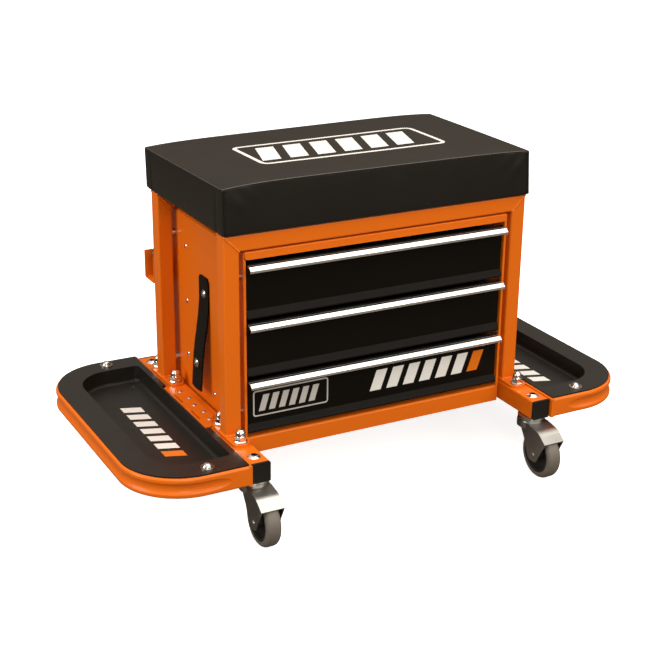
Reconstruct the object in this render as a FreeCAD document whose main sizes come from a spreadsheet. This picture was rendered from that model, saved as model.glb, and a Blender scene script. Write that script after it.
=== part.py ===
import FreeCAD
import Part
import Sketcher
import math
import os
import re
from FreeCAD import Placement, Rotation, Vector

# A roller seat for a workshop: a padded seat on two welded tube frames, a three-drawer steel
# cabinet between them, two fold-up side trays and four swivel castors. Millimetres, +Z up,
# drawers open towards -Y, origin at the middle of the footprint on the floor.

# Counts and names
KNUCKLES = 5
HINGE_RIVETS = 5
DRAWERS = ("top", "middle", "bottom")
SIDES = {"left": -1, "right": 1}

# Driving sizes
SIZES = {
    # base tubes and their end caps
    "base_tube": 25, "base_wall": 1.5, "base_corner": 2, "base_length": 358, "base_centre": 198,
    "cap_head": 3, "cap_gap": 0.2, "plug_gap": 2.5,
    # the two seat frames, their foot plates and bolts
    "frame_tube": 20, "frame_wall": 1.5, "frame_corner": 2.5, "frame_rise": 248.5,
    "front_bolt_gap": 36, "rear_bolt_gap": 26, "foot_plate": 3.5, "foot_margin": 1,
    "foot_bolt_reach": 29, "foot_end": 10, "foot_flat": 0.6, "bolt_radius": 4,
    "bolt_hole_gap": 0.1, "bolt_head_radius": 8, "bolt_head": 2.5, "bolt_engaged": 8,
    "washer_radius": 8.2, "washer": 1.6, "nut_corner_radius": 7.5, "nut_hex": 6.5, "nut_neck": 2.5,
    "nut_dome_radius": 6, "thread_gap": 0.02,
    # seat
    "seat_overhang": 3, "seat_depth_overhang": 5.5, "seat_setback": 2.5, "seat_edge": 55,
    "seat_crown": 5, "seat_gap": 0.3, "seat_side_draw": 3, "seat_corner": 6, "board": 10,
    "board_margin": 5.5, "board_corner_gap": 2, "waist_share": 0.45, "waist_draw_share": 0.35,
    "shoulder_share": 0.62, "crown_share": 0.5, "seat_screw_radius": 3, "seat_screw_inset": 38,
    "seat_screw_head_radius": 6, "seat_screw_head": 1.5, "seat_screw_cover": 2,
    # cabinet
    "cabinet_side_gap": 5.5, "cabinet_top_gap": 2, "cabinet_drop": 1, "cabinet_setback": 2,
    "sheet": 1.2, "hem_width": 3, "hem_depth": 6, "header": 9.5, "header_inset": 1.5,
    "header_corner": 4, "rail_height": 21.5, "rail_depth": 18, "rail_corner": 3, "skirt": 14,
    "tab_rise": 28, "tab_half": 10, "tab_setback": 14, "tab_rivet_drop": 6,
    "bolt_offset": 4, "cabinet_bolt_radius": 2.5, "cabinet_bolt_head_radius": 4.5,
    "cabinet_bolt_head": 3, "shoulder_radius": 5, "cabinet_bolt_rise": 28,
    "cabinet_bolt_drop": 54, "cabinet_bolt_thread": 8,
    # drawers, their pull handles and slides
    "handle_drop": 20, "bottom_gap": 6.6, "lip_gap": 10.2, "handle_side_gap": 0.5,
    "face_inset": 1, "face_recess": 3, "face_top": 4, "lip_rise": 9.5, "lip_edge": 1.5,
    "lip_reach": 4.5, "slide_room": 13.8, "box_back_gap": 17.8, "box_lift": 2.5,
    "drawer_box_top": 8, "drawer_sheet": 1, "drawer_hem": 2.5, "drawer_hem_depth": 5,
    "handle_plate": 2.2, "handle_low": 6, "handle_lip": 5.5, "handle_depth": 13.6,
    "nose_length": 7.1, "nose_low": 4, "nose_high": 3.6, "nose_radius": 3.7, "handle_floor": 0.8,
    "slide_drop": 21.5, "slide_height": 35, "slide_start": 17, "slide_sheet": 1.2,
    "slide_tip_gap": 2.2, "slide_running": 0.4, "slide_rivet_front": 19, "slide_rivet_rear": 27,
    "rivet_radius": 2, "rivet_head_radius": 3.2, "rivet_head": 1.4, "rivet_tail_radius": 3,
    "rivet_tail": 0.8,
    # tool strap on the left side
    "strap_width": 25, "strap": 2, "strap_setback": 8.25, "strap_drop": 64, "strap_clear": 20,
    "strap_leave_share": 0.2466, "strap_bow_share": 0.685, "stud_share": 0.24, "strap_bow": 10,
    "strap_end_bow": 13, "strap_rivet_drop": 22, "strap_gap": 0.3, "strap_rivet_radius": 5.5,
    "strap_rivet_head": 2.5, "stud_ring_radius": 7, "stud_ring": 1, "strap_bend": 40,
    "strap_hole_gap": 0.3,
    # tool rack behind the seat
    "rack_height": 37, "rack_drop": 125, "rack_depth": 32, "rack_sheet": 1.5, "rack_corner": 2.5,
    "rack_hem": 11, "rack_hem_sheet": 1.2, "rack_bolt_radius": 2.5, "rack_bolt_head_radius": 4.5,
    "rack_bolt_head": 3, "rack_bolt_drop": 5,
    # fold-up trays and their hinges
    "tray_tube": 25, "tray_wall": 1.5, "tray_corner": 3, "tray_lift": 1, "tray_span": 130.5,
    "tray_past": 5, "tray_bend": 78, "tray_gap": 0.5, "tray_bar": 4, "groove_radius": 10,
    "groove_depth": 3, "groove_run_out": 150, "rim": 2, "rim_margin": 3, "rim_gap": 3.5,
    "recess_bar_gap": 7, "recess_gap": 9, "recess_end_gap": 10, "recess_depth": 22,
    "pan_wall": 2, "pan_corner": 6, "pan_floor_round": 4, "pip_radius": 3, "pip": 1.2,
    "pip_near": 13, "pip_far": 24, "pip_inset": 16, "pip_offset": 5, "rim_end_gap": 4,
    "bar_end_gap": 0.6, "hinge_past": 10, "hinge_sheet": 2, "knuckle_radius": 3, "hinge_out": 6,
    "leaf_taper": 30, "leaf_width": 15, "leaf_clear": 0.5, "web": 1.8, "pin_head": 1,
    "pin_head_radius": 2.2, "pin_radius": 1.5, "pin_running": 0.06, "knuckle_gap": 0.4,
    "hinge_clear": 0.5, "hinge_rivet_past": 9, "hinge_rivet_stagger": 1.5, "rivet_wall_gap": 0.1,
    "tray_screw_out": 45, "tray_screw_inset": 17, "tray_screw_radius": 3,
    "tray_screw_flange_radius": 8.5, "tray_screw_flange": 1.3, "tray_screw_dome_radius": 6.2,
    "tray_screw_dome": 5, "tray_screw_length": 10,
    # castors
    "castor_inset": 20, "wheel_radius": 31.5, "wheel_width": 19, "tyre_depth": 7.5,
    "tread_share": 0.8, "hub_rim": 17, "hub_rim_sheet": 3.5, "hub_width": 23, "hub_web": 8,
    "hub_boss_radius": 8, "hub_side_gap": 2, "trail": 27, "axle_radius": 3, "axle_running": 0.05,
    "axle_head": 1, "axle_head_radius": 4, "fork_sheet": 1.5, "wheel_room": 5.5,
    "fork_lip_past": 25, "fork_lip_fall": 14, "fork_flat_short": 11, "fork_crown_past": 11,
    "fork_crown_fall": 3.4, "fork_boss": 8, "fork_boss_round": 7.9, "fork_cup_radius": 18,
    "fork_cup_fall": 8, "fork_back_fall": 10, "fork_waist_short": 19, "fork_waist_fall": 22,
    "fork_waist_round": 25, "fork_flat_round": 12, "fork_crown_round": 25,
    "fork_slope_share": 1.25, "race_radius": 17.5, "race_height": 3.5, "race_gap": 0.6,
    "lower_race_radius": 16, "lower_race": 2.9,
    "stem_radius": 5, "stem_running": 0.08, "stem_rise": 18, "king_head_radius": 8,
    "king_head": 2.8, "king_gap": 0.4, "castor_nut_radius": 7.9, "castor_nut_flange": 3,
    "castor_nut_barrel": 6.5, "castor_nut_length": 18, "socket_radius": 3.8, "socket_depth": 5,
    # how far every cutter runs past what it cuts
    "overrun": 5,
}

# Sizes and places worked out from the driving ones
PLACES = {
    # castors, up to the underside of the base tubes
    "fork_top": "2 * wheel_radius + wheel_room + fork_sheet",
    "fork_width": "hub_width + 2 * (hub_side_gap + fork_sheet)",
    "fork_flat": "trail - fork_flat_short",
    "fork_crown_at": "trail + fork_crown_past",
    "fork_crown": "fork_top - fork_crown_fall",
    "fork_lip": "trail + fork_lip_past",
    "fork_lip_height": "fork_top - fork_lip_fall",
    "fork_back_height": "fork_top - fork_back_fall",
    "fork_cup_low": "fork_top - fork_cup_fall",
    "fork_under": "fork_top - fork_sheet",
    "fork_waist": "trail - fork_waist_short",
    "fork_waist_height": "fork_top - fork_waist_fall",
    "hub_radius": "wheel_radius - tyre_depth",
    "race_low": "fork_top + lower_race + race_gap",
    "base_height": "race_low + race_height",
    # base
    "base_top": "base_height + base_tube",
    "base_half_span": "base_length / 2 + cap_head",
    "cap_plug": "castor_inset - cap_head - castor_nut_barrel - plug_gap",
    "base_outer": "base_centre + base_tube / 2",
    "castor_place": "base_half_span - castor_inset",
    "front_reach": "castor_place + trail + wheel_radius",
    "tray_half": "base_half_span + tray_past",
    "shift": "(front_reach - tray_half) / 2",
    "castor_front_y": "shift - castor_place",
    "castor_rear_y": "shift + castor_place",
    # seat frames
    "foot_half": "base_tube / 2 - foot_margin",
    "foot_round": "foot_half - foot_flat",
    "foot_top": "base_top + foot_plate",
    "nut_floor": "foot_top + washer",
    "frame_top": "foot_top + frame_rise",
    "frame_outer": "base_centre + frame_tube / 2",
    "frame_inner": "base_centre - frame_tube / 2",
    "front_frame_y": "castor_front_y + front_bolt_gap + foot_bolt_reach",
    "rear_frame_y": "castor_rear_y - rear_bolt_gap - foot_bolt_reach",
    "frame_front": "front_frame_y - frame_tube / 2",
    "frame_rear": "rear_frame_y + frame_tube / 2",
    # seat
    "seat_low": "frame_top + seat_gap",
    "seat_y": "(front_frame_y + rear_frame_y) / 2 + seat_setback",
    "seat_half_width": "frame_outer + seat_overhang",
    "seat_half_depth": "(frame_rear - frame_front) / 2 + seat_depth_overhang",
    "board_corner": "seat_corner - board_corner_gap",
    "seat_screw_spread": "frame_inner - seat_screw_inset",
    "seat_screw_bite": "board - seat_screw_cover",
    # cabinet
    "cabinet_half": "frame_inner - cabinet_side_gap",
    "cabinet_low": "base_height - cabinet_drop",
    "cabinet_top": "frame_top - frame_tube - cabinet_top_gap",
    "cabinet_front": "frame_front + cabinet_setback",
    "cabinet_rear": "frame_rear - cabinet_setback",
    "panel_inner": "cabinet_half - sheet",
    "floor_top": "cabinet_low + rail_height",
    "tab_top": "floor_top + tab_rise",
    "tab_y": "shift - tab_setback",
    "tab_rivet": "tab_top - tab_rivet_drop",
    # drawers and slides
    "drawer_pitch": "(cabinet_top - handle_drop - floor_top - bottom_gap + lip_gap) / %d" % len(DRAWERS),
    "lip_drop": "drawer_pitch - lip_gap",
    "box_drop": "lip_drop - box_lift",
    "handle_half": "cabinet_half - hem_width - handle_side_gap",
    "face_half": "handle_half - face_inset",
    "face_y": "cabinet_front + face_recess",
    "box_half": "panel_inner - slide_room",
    "box_rear": "cabinet_rear - sheet - box_back_gap",
    "slide_front": "cabinet_front + slide_start",
    "slide_reach": "slide_room - slide_sheet - slide_tip_gap",
    # strap
    "strap_top": "cabinet_top - strap_drop",
    "strap_rivet": "strap_top - strap_rivet_drop",
    "strap_end": "base_top + strap_clear",
    "strap_leaves": "strap_top - strap_leave_share * (strap_top - strap_end)",
    "strap_bows": "strap_top - strap_bow_share * (strap_top - strap_end)",
    "strap_stud": "strap_bows - stud_share * (strap_bows - strap_end)",
    # tool rack
    "rack_front": "frame_rear",
    "rack_rear": "rack_front + rack_depth",
    "rack_low": "frame_top - rack_drop",
    "rack_high": "rack_low + rack_height",
    "rack_bolt_height": "rack_high - rack_bolt_drop",
    # trays
    "tray_low": "base_height + tray_lift",
    "tray_high": "tray_low + tray_tube",
    "tray_centre_height": "tray_low + tray_tube / 2",
    "bar_near": "base_outer + tray_gap",
    "bar_far": "bar_near + tray_bar",
    "tray_reach": "bar_far + tray_span",
    "rim_top": "tray_high + rim",
    "rim_near": "base_outer + rim_gap",
    "rim_out": "tray_reach - rim_margin",
    "rim_half": "tray_half - rim_margin",
    "recess_near": "bar_far + recess_bar_gap",
    "recess_far": "tray_reach - tray_tube - recess_gap",
    "recess_half": "tray_half - tray_tube - recess_end_gap",
    "recess_corner": "tray_bend - tray_tube - recess_gap",
    "recess_floor": "rim_top - recess_depth",
    "pan_near": "recess_near - pan_wall",
    # hinges
    "leaf_top": "base_top + hinge_sheet",
    "leaf_inner": "base_outer - leaf_width",
    "hinge_x": "base_outer + hinge_out",
    "hinge_z": "leaf_top - knuckle_radius",
    "hinge_notch": "hinge_z - knuckle_radius - hinge_clear",
    "hinge_half": "shift - front_frame_y - foot_bolt_reach - foot_end + hinge_past",
    "hinge_room": "hinge_half + knuckle_gap + pin_head + bar_end_gap",
    "leaf_inner_half": "hinge_half - leaf_taper",
    "knuckle": "(2 * hinge_half - %d * knuckle_gap) / %d" % (KNUCKLES - 1, KNUCKLES),
    "hinge_rivet_pitch": "(leaf_inner_half + hinge_rivet_past) / %d" % (HINGE_RIVETS // 2),
    "hinge_rivet_inset": "2 * base_wall + rivet_tail_radius + rivet_wall_gap + hinge_rivet_stagger",
}

doc = FreeCAD.newDocument("roller_seat")
sizes = doc.addObject("Spreadsheet::Sheet", "Sizes")
for number, (alias, value) in enumerate(SIZES.items(), 1):
    sizes.set("A%d" % number, alias)
    sizes.set("B%d" % number, str(value))
    sizes.setAlias("B%d" % number, alias)
places = doc.addObject("Spreadsheet::Sheet", "Places")


def ref(text):
    """Turn the size names in a formula into references to the two sheets."""
    def cell(match):
        word = match.group()
        if word in SIZES:
            return "Sizes." + word
        return "Places." + word if word in PLACES else word
    return re.sub(r"[a-z_]+", cell, text)


for number, (alias, formula) in enumerate(PLACES.items(), 1):
    places.set("A%d" % number, alias)
    places.set("B%d" % number, "=" + re.sub(r"Places\.", "", ref(formula)))
    places.setAlias("B%d" % number, alias)
doc.recompute()


def mm(text):
    """The value of a formula of named sizes."""
    return float(sizes.evalExpression(ref(text)))


# Drawing helpers: every length is a formula of named sizes, bound to the sheets

nodes = []


def node(label, piece):
    """Name a finished sub-part and list it for export."""
    piece.Label = label
    nodes.append(piece)
    return piece


def place(piece, x="0", y="0", z="0"):
    for axis, text in (("x", x), ("y", y), ("z", z)):
        piece.setExpression("Placement.Base." + axis, ref(text))


def span(side, near, far):
    """The two ends along X of a piece on the left (-1) or right (1) side."""
    return (near, far) if side > 0 else ("-(%s)" % far, "-(%s)" % near)


def block(x_span, y_span, z_span):
    piece = doc.addObject("Part::Box", "Block")
    for name, (low, high) in (("Length", x_span), ("Width", y_span), ("Height", z_span)):
        piece.setExpression(name, ref("(%s) - (%s)" % (high, low)))
    place(piece, x_span[0], y_span[0], z_span[0])
    return piece


AXES = {"x": Rotation(Vector(0, 1, 0), 90), "-x": Rotation(Vector(0, 1, 0), -90),
        "y": Rotation(Vector(1, 0, 0), -90), "-y": Rotation(Vector(1, 0, 0), 90),
        "z": Rotation(), "-z": Rotation(Vector(1, 0, 0), 180)}


def rod(radius, length, start, axis="z"):
    piece = doc.addObject("Part::Cylinder", "Rod")
    piece.Placement = Placement(Vector(), AXES[axis])
    piece.setExpression("Radius", ref(radius))
    piece.setExpression("Height", ref(length))
    place(piece, *start)
    return piece


def dome(radius, height, base, axis="z"):
    """A spherical cap of the given foot radius and height."""
    ball = "(((%s)^2 + (%s)^2) / (2 * (%s)))" % (radius, height, height)
    sink = "(%s - (%s))" % (ball, height)
    piece = doc.addObject("Part::Sphere", "Dome")
    piece.Placement = Placement(Vector(), AXES[axis])
    piece.setExpression("Radius", ref(ball))
    piece.setExpression("Angle1", ref("asin(%s / %s)" % (sink, ball)))
    way = AXES[axis].multVec(Vector(0, 0, 1))
    place(piece, *["(%s) - (%d) * %s" % (text, round(part), sink) for text, part in zip(base, way)])
    return piece


def fuse(*pieces):
    piece = doc.addObject("Part::MultiFuse", "Fuse")
    piece.Shapes = list(pieces)
    piece.Refine = True
    return piece


def group(*pieces):
    piece = doc.addObject("Part::Compound", "Group")
    piece.Links = list(pieces)
    return piece


def cut(base, *tools):
    piece = doc.addObject("Part::Cut", "Cut")
    piece.Base = base
    piece.Tool = tools[0] if len(tools) == 1 else group(*tools)
    return piece


def body(x="0", y="0", z="0"):
    piece = doc.addObject("PartDesign::Body", "Body")
    place(piece, x, y, z)
    return piece


def pin(sketch, element, end, x, y):
    """Hold one sketch point at formulas of x and y, measured from the sketch's origin."""
    for kind, axis, text in (("DistanceX", -2, x), ("DistanceY", -1, y)):
        if mm(text) == 0:
            sketch.addConstraint(Sketcher.Constraint("PointOnObject", element, end, axis))
            continue
        bond = sketch.addConstraint(Sketcher.Constraint(kind, -1, 1, element, end, mm(text)))
        sketch.setExpression("Constraints[%d]" % bond, ref(text))


def outline(sketch, corners):
    """Draw a closed outline. A corner is (x, y) or (x, y, radius of its rounding)."""
    points = [Vector(mm(corner[0]), mm(corner[1]), 0) for corner in corners]
    count = len(corners)
    starts, ends, rounds = {}, {}, {}
    for index, corner in enumerate(corners):
        here = points[index]
        before = (points[index - 1] - here).normalize()
        after = (points[(index + 1) % count] - here).normalize()
        starts[index] = ends[index] = here
        if len(corner) == 3:
            half = before.getAngle(after) / 2
            reach = mm(corner[2]) / math.tan(half)
            ends[index] = here + before * reach
            starts[index] = here + after * reach
            centre = here + (before + after).normalize() * (mm(corner[2]) / math.sin(half))
            turn = before.x * after.y - before.y * after.x
            rounds[index] = (centre, mm(corner[2]), turn < 0)
    lines = []
    for index in range(count):
        follow = (index + 1) % count
        lines.append(sketch.addGeometry(Part.LineSegment(starts[index], ends[follow])))
    for index, corner in enumerate(corners):
        line_in, line_out = lines[index - 1], lines[index]
        if index not in rounds:
            sketch.addConstraint(Sketcher.Constraint("Coincident", line_in, 2, line_out, 1))
            pin(sketch, line_out, 1, corner[0], corner[1])
            continue
        centre, radius, onward = rounds[index]
        first, last = (ends[index], starts[index]) if onward else (starts[index], ends[index])
        angles = [math.atan2(spot.y - centre.y, spot.x - centre.x) for spot in (first, last)]
        circle = Part.Circle(centre, Vector(0, 0, 1), radius)
        arc = sketch.addGeometry(Part.ArcOfCircle(circle, angles[0], angles[1]))
        start_end, finish_end = (1, 2) if onward else (2, 1)
        sketch.addConstraint(Sketcher.Constraint("Tangent", line_in, 2, arc, start_end))
        sketch.addConstraint(Sketcher.Constraint("Tangent", line_out, 1, arc, finish_end))
        bond = sketch.addConstraint(Sketcher.Constraint("Radius", arc, radius))
        sketch.setExpression("Constraints[%d]" % bond, ref(corner[2]))
        tip = sketch.addGeometry(Part.Point(points[index]), True)
        pin(sketch, tip, 1, corner[0], corner[1])
        for line in (line_in, line_out):
            sketch.addConstraint(Sketcher.Constraint("PointOnObject", tip, 1, line))


def rectangle(wide, deep, *corner):
    """Four corners about the origin, from half the width and half the depth."""
    return [("-(%s)" % wide, "-(%s)" % deep) + corner, (wide, "-(%s)" % deep) + corner,
            (wide, deep) + corner, ("-(%s)" % wide, deep) + corner]


def ring(sketch, x, y, radius):
    circle = Part.Circle(Vector(mm(x), mm(y), 0), Vector(0, 0, 1), mm(radius))
    element = sketch.addGeometry(circle)
    pin(sketch, element, 3, x, y)
    bond = sketch.addConstraint(Sketcher.Constraint("Radius", element, mm(radius)))
    sketch.setExpression("Constraints[%d]" % bond, ref(radius))


def draw(owner, plane, corners=(), circles=(), shift="0"):
    """A sketch on one of the body's origin planes, moved along its normal by shift."""
    sketch = owner.newObject("Sketcher::SketchObject", "Sketch")
    plane_object = next(one for one in owner.Origin.OriginFeatures if one.Role == plane + "_Plane")
    sketch.AttachmentSupport = [(plane_object, "")]
    sketch.MapMode = "FlatFace"
    if shift != "0":
        sketch.setExpression("AttachmentOffset.Base.z", ref(shift))
    if corners:
        outline(sketch, corners)
    for circle in circles:
        ring(sketch, *circle)
    return sketch


def pad(owner, profile, length, kind="PartDesign::Pad", both=False, back=False):
    feature = owner.newObject(kind, kind.split("::")[1])
    feature.Profile = profile
    feature.setExpression("Length", ref(length))
    feature.SideType = "Symmetric" if both else "One side"
    feature.Reversed = back
    return feature


def pocket(owner, profile, length, both=False, back=False):
    """A pocket that is sure to take something away."""
    doc.recompute()
    before = owner.Shape.Volume
    feature = pad(owner, profile, length, "PartDesign::Pocket", both, back)
    doc.recompute()
    if owner.Shape.Volume >= before:
        raise ValueError("a pocket cuts nothing")
    return feature


def turned(owner, corners, axis="V_Axis", plane="XZ"):
    """Revolve an outline about the sketch's own vertical or horizontal axis."""
    profile = draw(owner, plane, corners)
    feature = owner.newObject("PartDesign::Revolution", "Revolution")
    feature.Profile = profile
    feature.ReferenceAxis = (profile, [axis])
    return feature


def ease(owner, radius, wanted):
    """Round the edges of the body so far that the test picks."""
    doc.recompute()
    tip = owner.Tip
    names = ["Edge%d" % number for number, edge in enumerate(tip.Shape.Edges, 1) if wanted(edge)]
    if not names:
        raise ValueError("no edge to round")
    feature = owner.newObject("PartDesign::Fillet", "Fillet")
    feature.Base = (tip, names)
    feature.setExpression("Radius", ref(radius))
    doc.recompute()
    return feature


def runs(edge, axis, shortest="0"):
    """Is the edge straight, along the axis, and longer than the shortest length?"""
    if len(edge.Vertexes) != 2 or edge.Curve.TypeId != "Part::GeomLine":
        return False
    step = edge.Vertexes[1].Point - edge.Vertexes[0].Point
    along = abs(getattr(step, axis))
    return along > mm(shortest) and along > 0.999 * step.Length


def at(edge, axis, text):
    """Does the whole edge lie at one place along the axis?"""
    box = edge.BoundBox
    low, high = getattr(box, axis.upper() + "Min"), getattr(box, axis.upper() + "Max")
    return abs(low - mm(text)) < 0.01 and abs(high - mm(text)) < 0.01


# Base: two square tubes that run front to back, with pushed-in plastic ends


def base_tube(side):
    tube = body("%d * base_centre" % side, "shift", "base_height + base_tube / 2")
    half, inner = "base_tube / 2", "base_tube / 2 - base_wall"
    pad(tube, draw(tube, "XZ", rectangle(half, half, "base_corner")), "base_length", both=True)
    pocket(tube, draw(tube, "XZ", rectangle(inner, inner, "base_wall")), "base_length", both=True)
    x = "%d * base_centre" % side
    tools = []
    for y in foot_bolt_rows():
        tools.append(rod("bolt_radius + bolt_hole_gap", "base_tube + 2 * overrun",
                         (x, y, "base_height - overrun")))
    for y in ("castor_front_y", "castor_rear_y"):
        tools.append(rod("castor_nut_barrel + bolt_hole_gap", "base_tube",
                         (x, y, "base_height + base_tube / 2")))
        tools.append(rod("stem_radius + bolt_hole_gap", "base_tube",
                         (x, y, "base_height - base_tube / 2")))
    for x_text, y_text in hinge_rivet_places(side):
        tools.append(rod("rivet_radius + thread_gap", "base_tube",
                         (x_text, y_text, "base_top - base_tube / 2")))
    return cut(tube, *tools)


def foot_bolt_rows():
    return ["%s %s foot_bolt_reach" % (frame, sign)
            for frame in ("front_frame_y", "rear_frame_y") for sign in ("-", "+")]


def hinge_rivet_places(side):
    """Five rivets along the leaf, set in a zigzag."""
    spots = []
    middle = HINGE_RIVETS // 2
    for number in range(HINGE_RIVETS):
        sign = "-" if number % 2 else "+"
        x = "%d * (base_outer - hinge_rivet_inset %s hinge_rivet_stagger)" % (side, sign)
        spots.append((x, "shift + (%d) * hinge_rivet_pitch" % (number - middle)))
    return spots


def end_caps():
    caps = []
    for side in (-1, 1):
        for end in (-1, 1):
            cap = body("%d * base_centre" % side, "shift + %d * base_length / 2" % end,
                       "base_height + base_tube / 2")
            half, plug = "base_tube / 2", "base_tube / 2 - base_wall - cap_gap"
            pad(cap, draw(cap, "XZ", rectangle(half, half, "base_corner")), "cap_head", back=end > 0)
            pad(cap, draw(cap, "XZ", rectangle(plug, plug, "base_wall")), "cap_plug", back=end < 0)
            caps.append(cap)
    return group(*caps)


node("base_tube_left", base_tube(-1))
node("base_tube_right", base_tube(1))
node("tube_end_caps", end_caps())


# Seat frames: square tube bent into an upside-down U with mitred top corners, on foot plates


def seat_frame(y):
    frame = body("0", y, "0")

    def hoop(inset):
        out, top = "frame_outer - %s" % inset, "frame_top - %s" % inset
        near, under = "frame_inner + %s" % inset, "frame_top - frame_tube + %s" % inset
        return [("-(%s)" % out, "foot_top"), ("-(%s)" % out, top), (out, top), (out, "foot_top"),
                (near, "foot_top"), (near, under), ("-(%s)" % near, under), ("-(%s)" % near, "foot_top")]

    pad(frame, draw(frame, "XZ", hoop("0")), "frame_tube", both=True)
    ease(frame, "frame_corner", lambda edge: runs(edge, "x", "frame_tube + frame_corner")
         or runs(edge, "z", "frame_tube + frame_corner"))
    pocket(frame, draw(frame, "XZ", hoop("frame_wall")), "frame_tube - 2 * frame_wall", both=True)
    tools = []
    for side in (-1, 1):
        tools.append(rod("seat_screw_radius + bolt_hole_gap", "frame_tube + 2 * overrun",
                         ("%d * seat_screw_spread" % side, y, "frame_top - frame_tube - overrun")))
        start = span(side, "frame_inner - overrun", "frame_inner + frame_tube / 2")[0]
        for z in cabinet_bolt_heights():
            tools.append(rod("cabinet_bolt_radius + bolt_hole_gap", "frame_tube / 2 + overrun",
                             (start, cabinet_bolt_row(y), z), "x"))
        if y == "rear_frame_y":
            tools.append(rod("rack_bolt_radius + bolt_hole_gap", "frame_tube",
                             ("%d * base_centre" % side, "rear_frame_y", "rack_bolt_height"), "y"))
    return cut(frame, *tools)


def cabinet_bolt_heights():
    return ["base_top + cabinet_bolt_rise", "frame_top - cabinet_bolt_drop"]


def cabinet_bolt_row(frame_y):
    return frame_y + (" + bolt_offset" if frame_y == "front_frame_y" else " - bolt_offset")


def foot_plate(side, frame_y):
    plate = body("%d * base_centre" % side, frame_y, "base_top")
    shape = rectangle("foot_half", "foot_bolt_reach + foot_end", "foot_round")
    holes = [("0", "%d * foot_bolt_reach" % end, "bolt_radius + bolt_hole_gap") for end in (-1, 1)]
    pad(plate, draw(plate, "XY", shape, holes), "foot_plate")
    return plate


def foot_fasteners():
    """The washer, domed nut and bolt of each of the eight foot holes."""
    washers, nuts, bolts = [], [], []
    for side in (-1, 1):
        x = "%d * base_centre" % side
        for y in foot_bolt_rows():
            washers.append(cut(rod("washer_radius", "washer", (x, y, "foot_top")),
                               rod("bolt_radius + bolt_hole_gap", "washer", (x, y, "foot_top"))))
            hexagon = doc.addObject("Part::Prism", "Hexagon")
            hexagon.Polygon = 6
            hexagon.setExpression("Circumradius", ref("nut_corner_radius"))
            hexagon.setExpression("Height", ref("nut_hex"))
            place(hexagon, x, y, "nut_floor")
            neck = rod("nut_dome_radius", "nut_neck", (x, y, "nut_floor + nut_hex"))
            top = dome("nut_dome_radius", "nut_dome_radius", (x, y, "nut_floor + nut_hex + nut_neck"))
            thread = rod("bolt_radius + thread_gap", "bolt_engaged", (x, y, "nut_floor"))
            nuts.append(cut(fuse(hexagon, neck, top), thread))
            shank = rod("bolt_radius", "nut_floor + bolt_engaged - base_height", (x, y, "base_height"))
            bolts.append(fuse(shank, dome("bolt_head_radius", "bolt_head", (x, y, "base_height"), "-z")))
    return group(*washers), group(*nuts), group(*bolts)


node("front_frame", seat_frame("front_frame_y"))
node("rear_frame", seat_frame("rear_frame_y"))
node("foot_plates", group(*[foot_plate(side, y) for side in (-1, 1)
                            for y in ("front_frame_y", "rear_frame_y")]))
for label, piece in zip(("foot_washers", "acorn_nuts", "foot_bolts"), foot_fasteners()):
    node(label, piece)


# Seat: a boxed cushion over a plywood board, screwed up through the frames' top rails


def cushion():
    """Sides drawn in at mid-height, a crisp top seam and a crowned top."""
    seat = body("0", "seat_y", "seat_low")

    def slab(height, inset, corner):
        wide, deep = "seat_half_width - (%s)" % inset, "seat_half_depth - (%s)" % inset
        return draw(seat, "XY", rectangle(wide, deep, corner), shift=height)

    def loft(levels):
        sections = [slab(*level) for level in levels]
        feature = seat.newObject("PartDesign::AdditiveLoft", "Loft")
        feature.Profile = sections[0]
        feature.Sections = sections[1:]
        return feature

    loft([("0", "seat_side_draw", "seat_corner"),
          ("seat_edge * waist_share", "seat_side_draw * waist_draw_share", "seat_corner"),
          ("seat_edge", "0", "seat_corner")])
    loft([("seat_edge", "0", "seat_corner"),
          ("seat_edge + seat_crown * shoulder_share", "seat_corner", "seat_corner"),
          ("seat_edge + seat_crown", "seat_half_depth * crown_share", "seat_corner")])
    hollow = "board_margin - seat_gap"
    wide, deep = "seat_half_width - (%s)" % hollow, "seat_half_depth - (%s)" % hollow
    under = draw(seat, "XY", rectangle(wide, deep, "board_corner + seat_gap"))
    pocket(seat, under, "board", back=True)
    return seat


def seat_board():
    board = body("0", "seat_y", "frame_top")
    wide, deep = "seat_half_width - board_margin", "seat_half_depth - board_margin"
    holes = [(x, "%s - seat_y" % y, "seat_screw_radius + thread_gap") for x, y in seat_screw_places()]
    pad(board, draw(board, "XY", rectangle(wide, deep, "board_corner")), "board")
    pocket(board, draw(board, "XY", (), holes), "seat_screw_bite", back=True)
    return board


def seat_screw_places():
    return [("%d * seat_screw_spread" % side, y) for side in (-1, 1)
            for y in ("front_frame_y", "rear_frame_y")]


def seat_screws():
    screws = []
    for x, y in seat_screw_places():
        under = "frame_top - frame_tube"
        shank = rod("seat_screw_radius", "frame_tube + seat_screw_bite", (x, y, under))
        screws.append(fuse(shank, dome("seat_screw_head_radius", "seat_screw_head", (x, y, under), "-z")))
    return group(*screws)


node("seat_cushion", cushion())
node("seat_board", seat_board())
node("seat_screws", seat_screws())


# Cabinet: bent sheet between the frames, held off the uprights by shoulder bolts


def handle_height(number):
    return "cabinet_top - handle_drop - %d * drawer_pitch" % number


def slide_height(number):
    return handle_height(number) + " - slide_drop"


def slide_rivet_places():
    return [(y, slide_height(number)) for number in range(len(DRAWERS))
            for y in ("slide_front + slide_rivet_front", "box_rear - slide_rivet_rear")]


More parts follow.
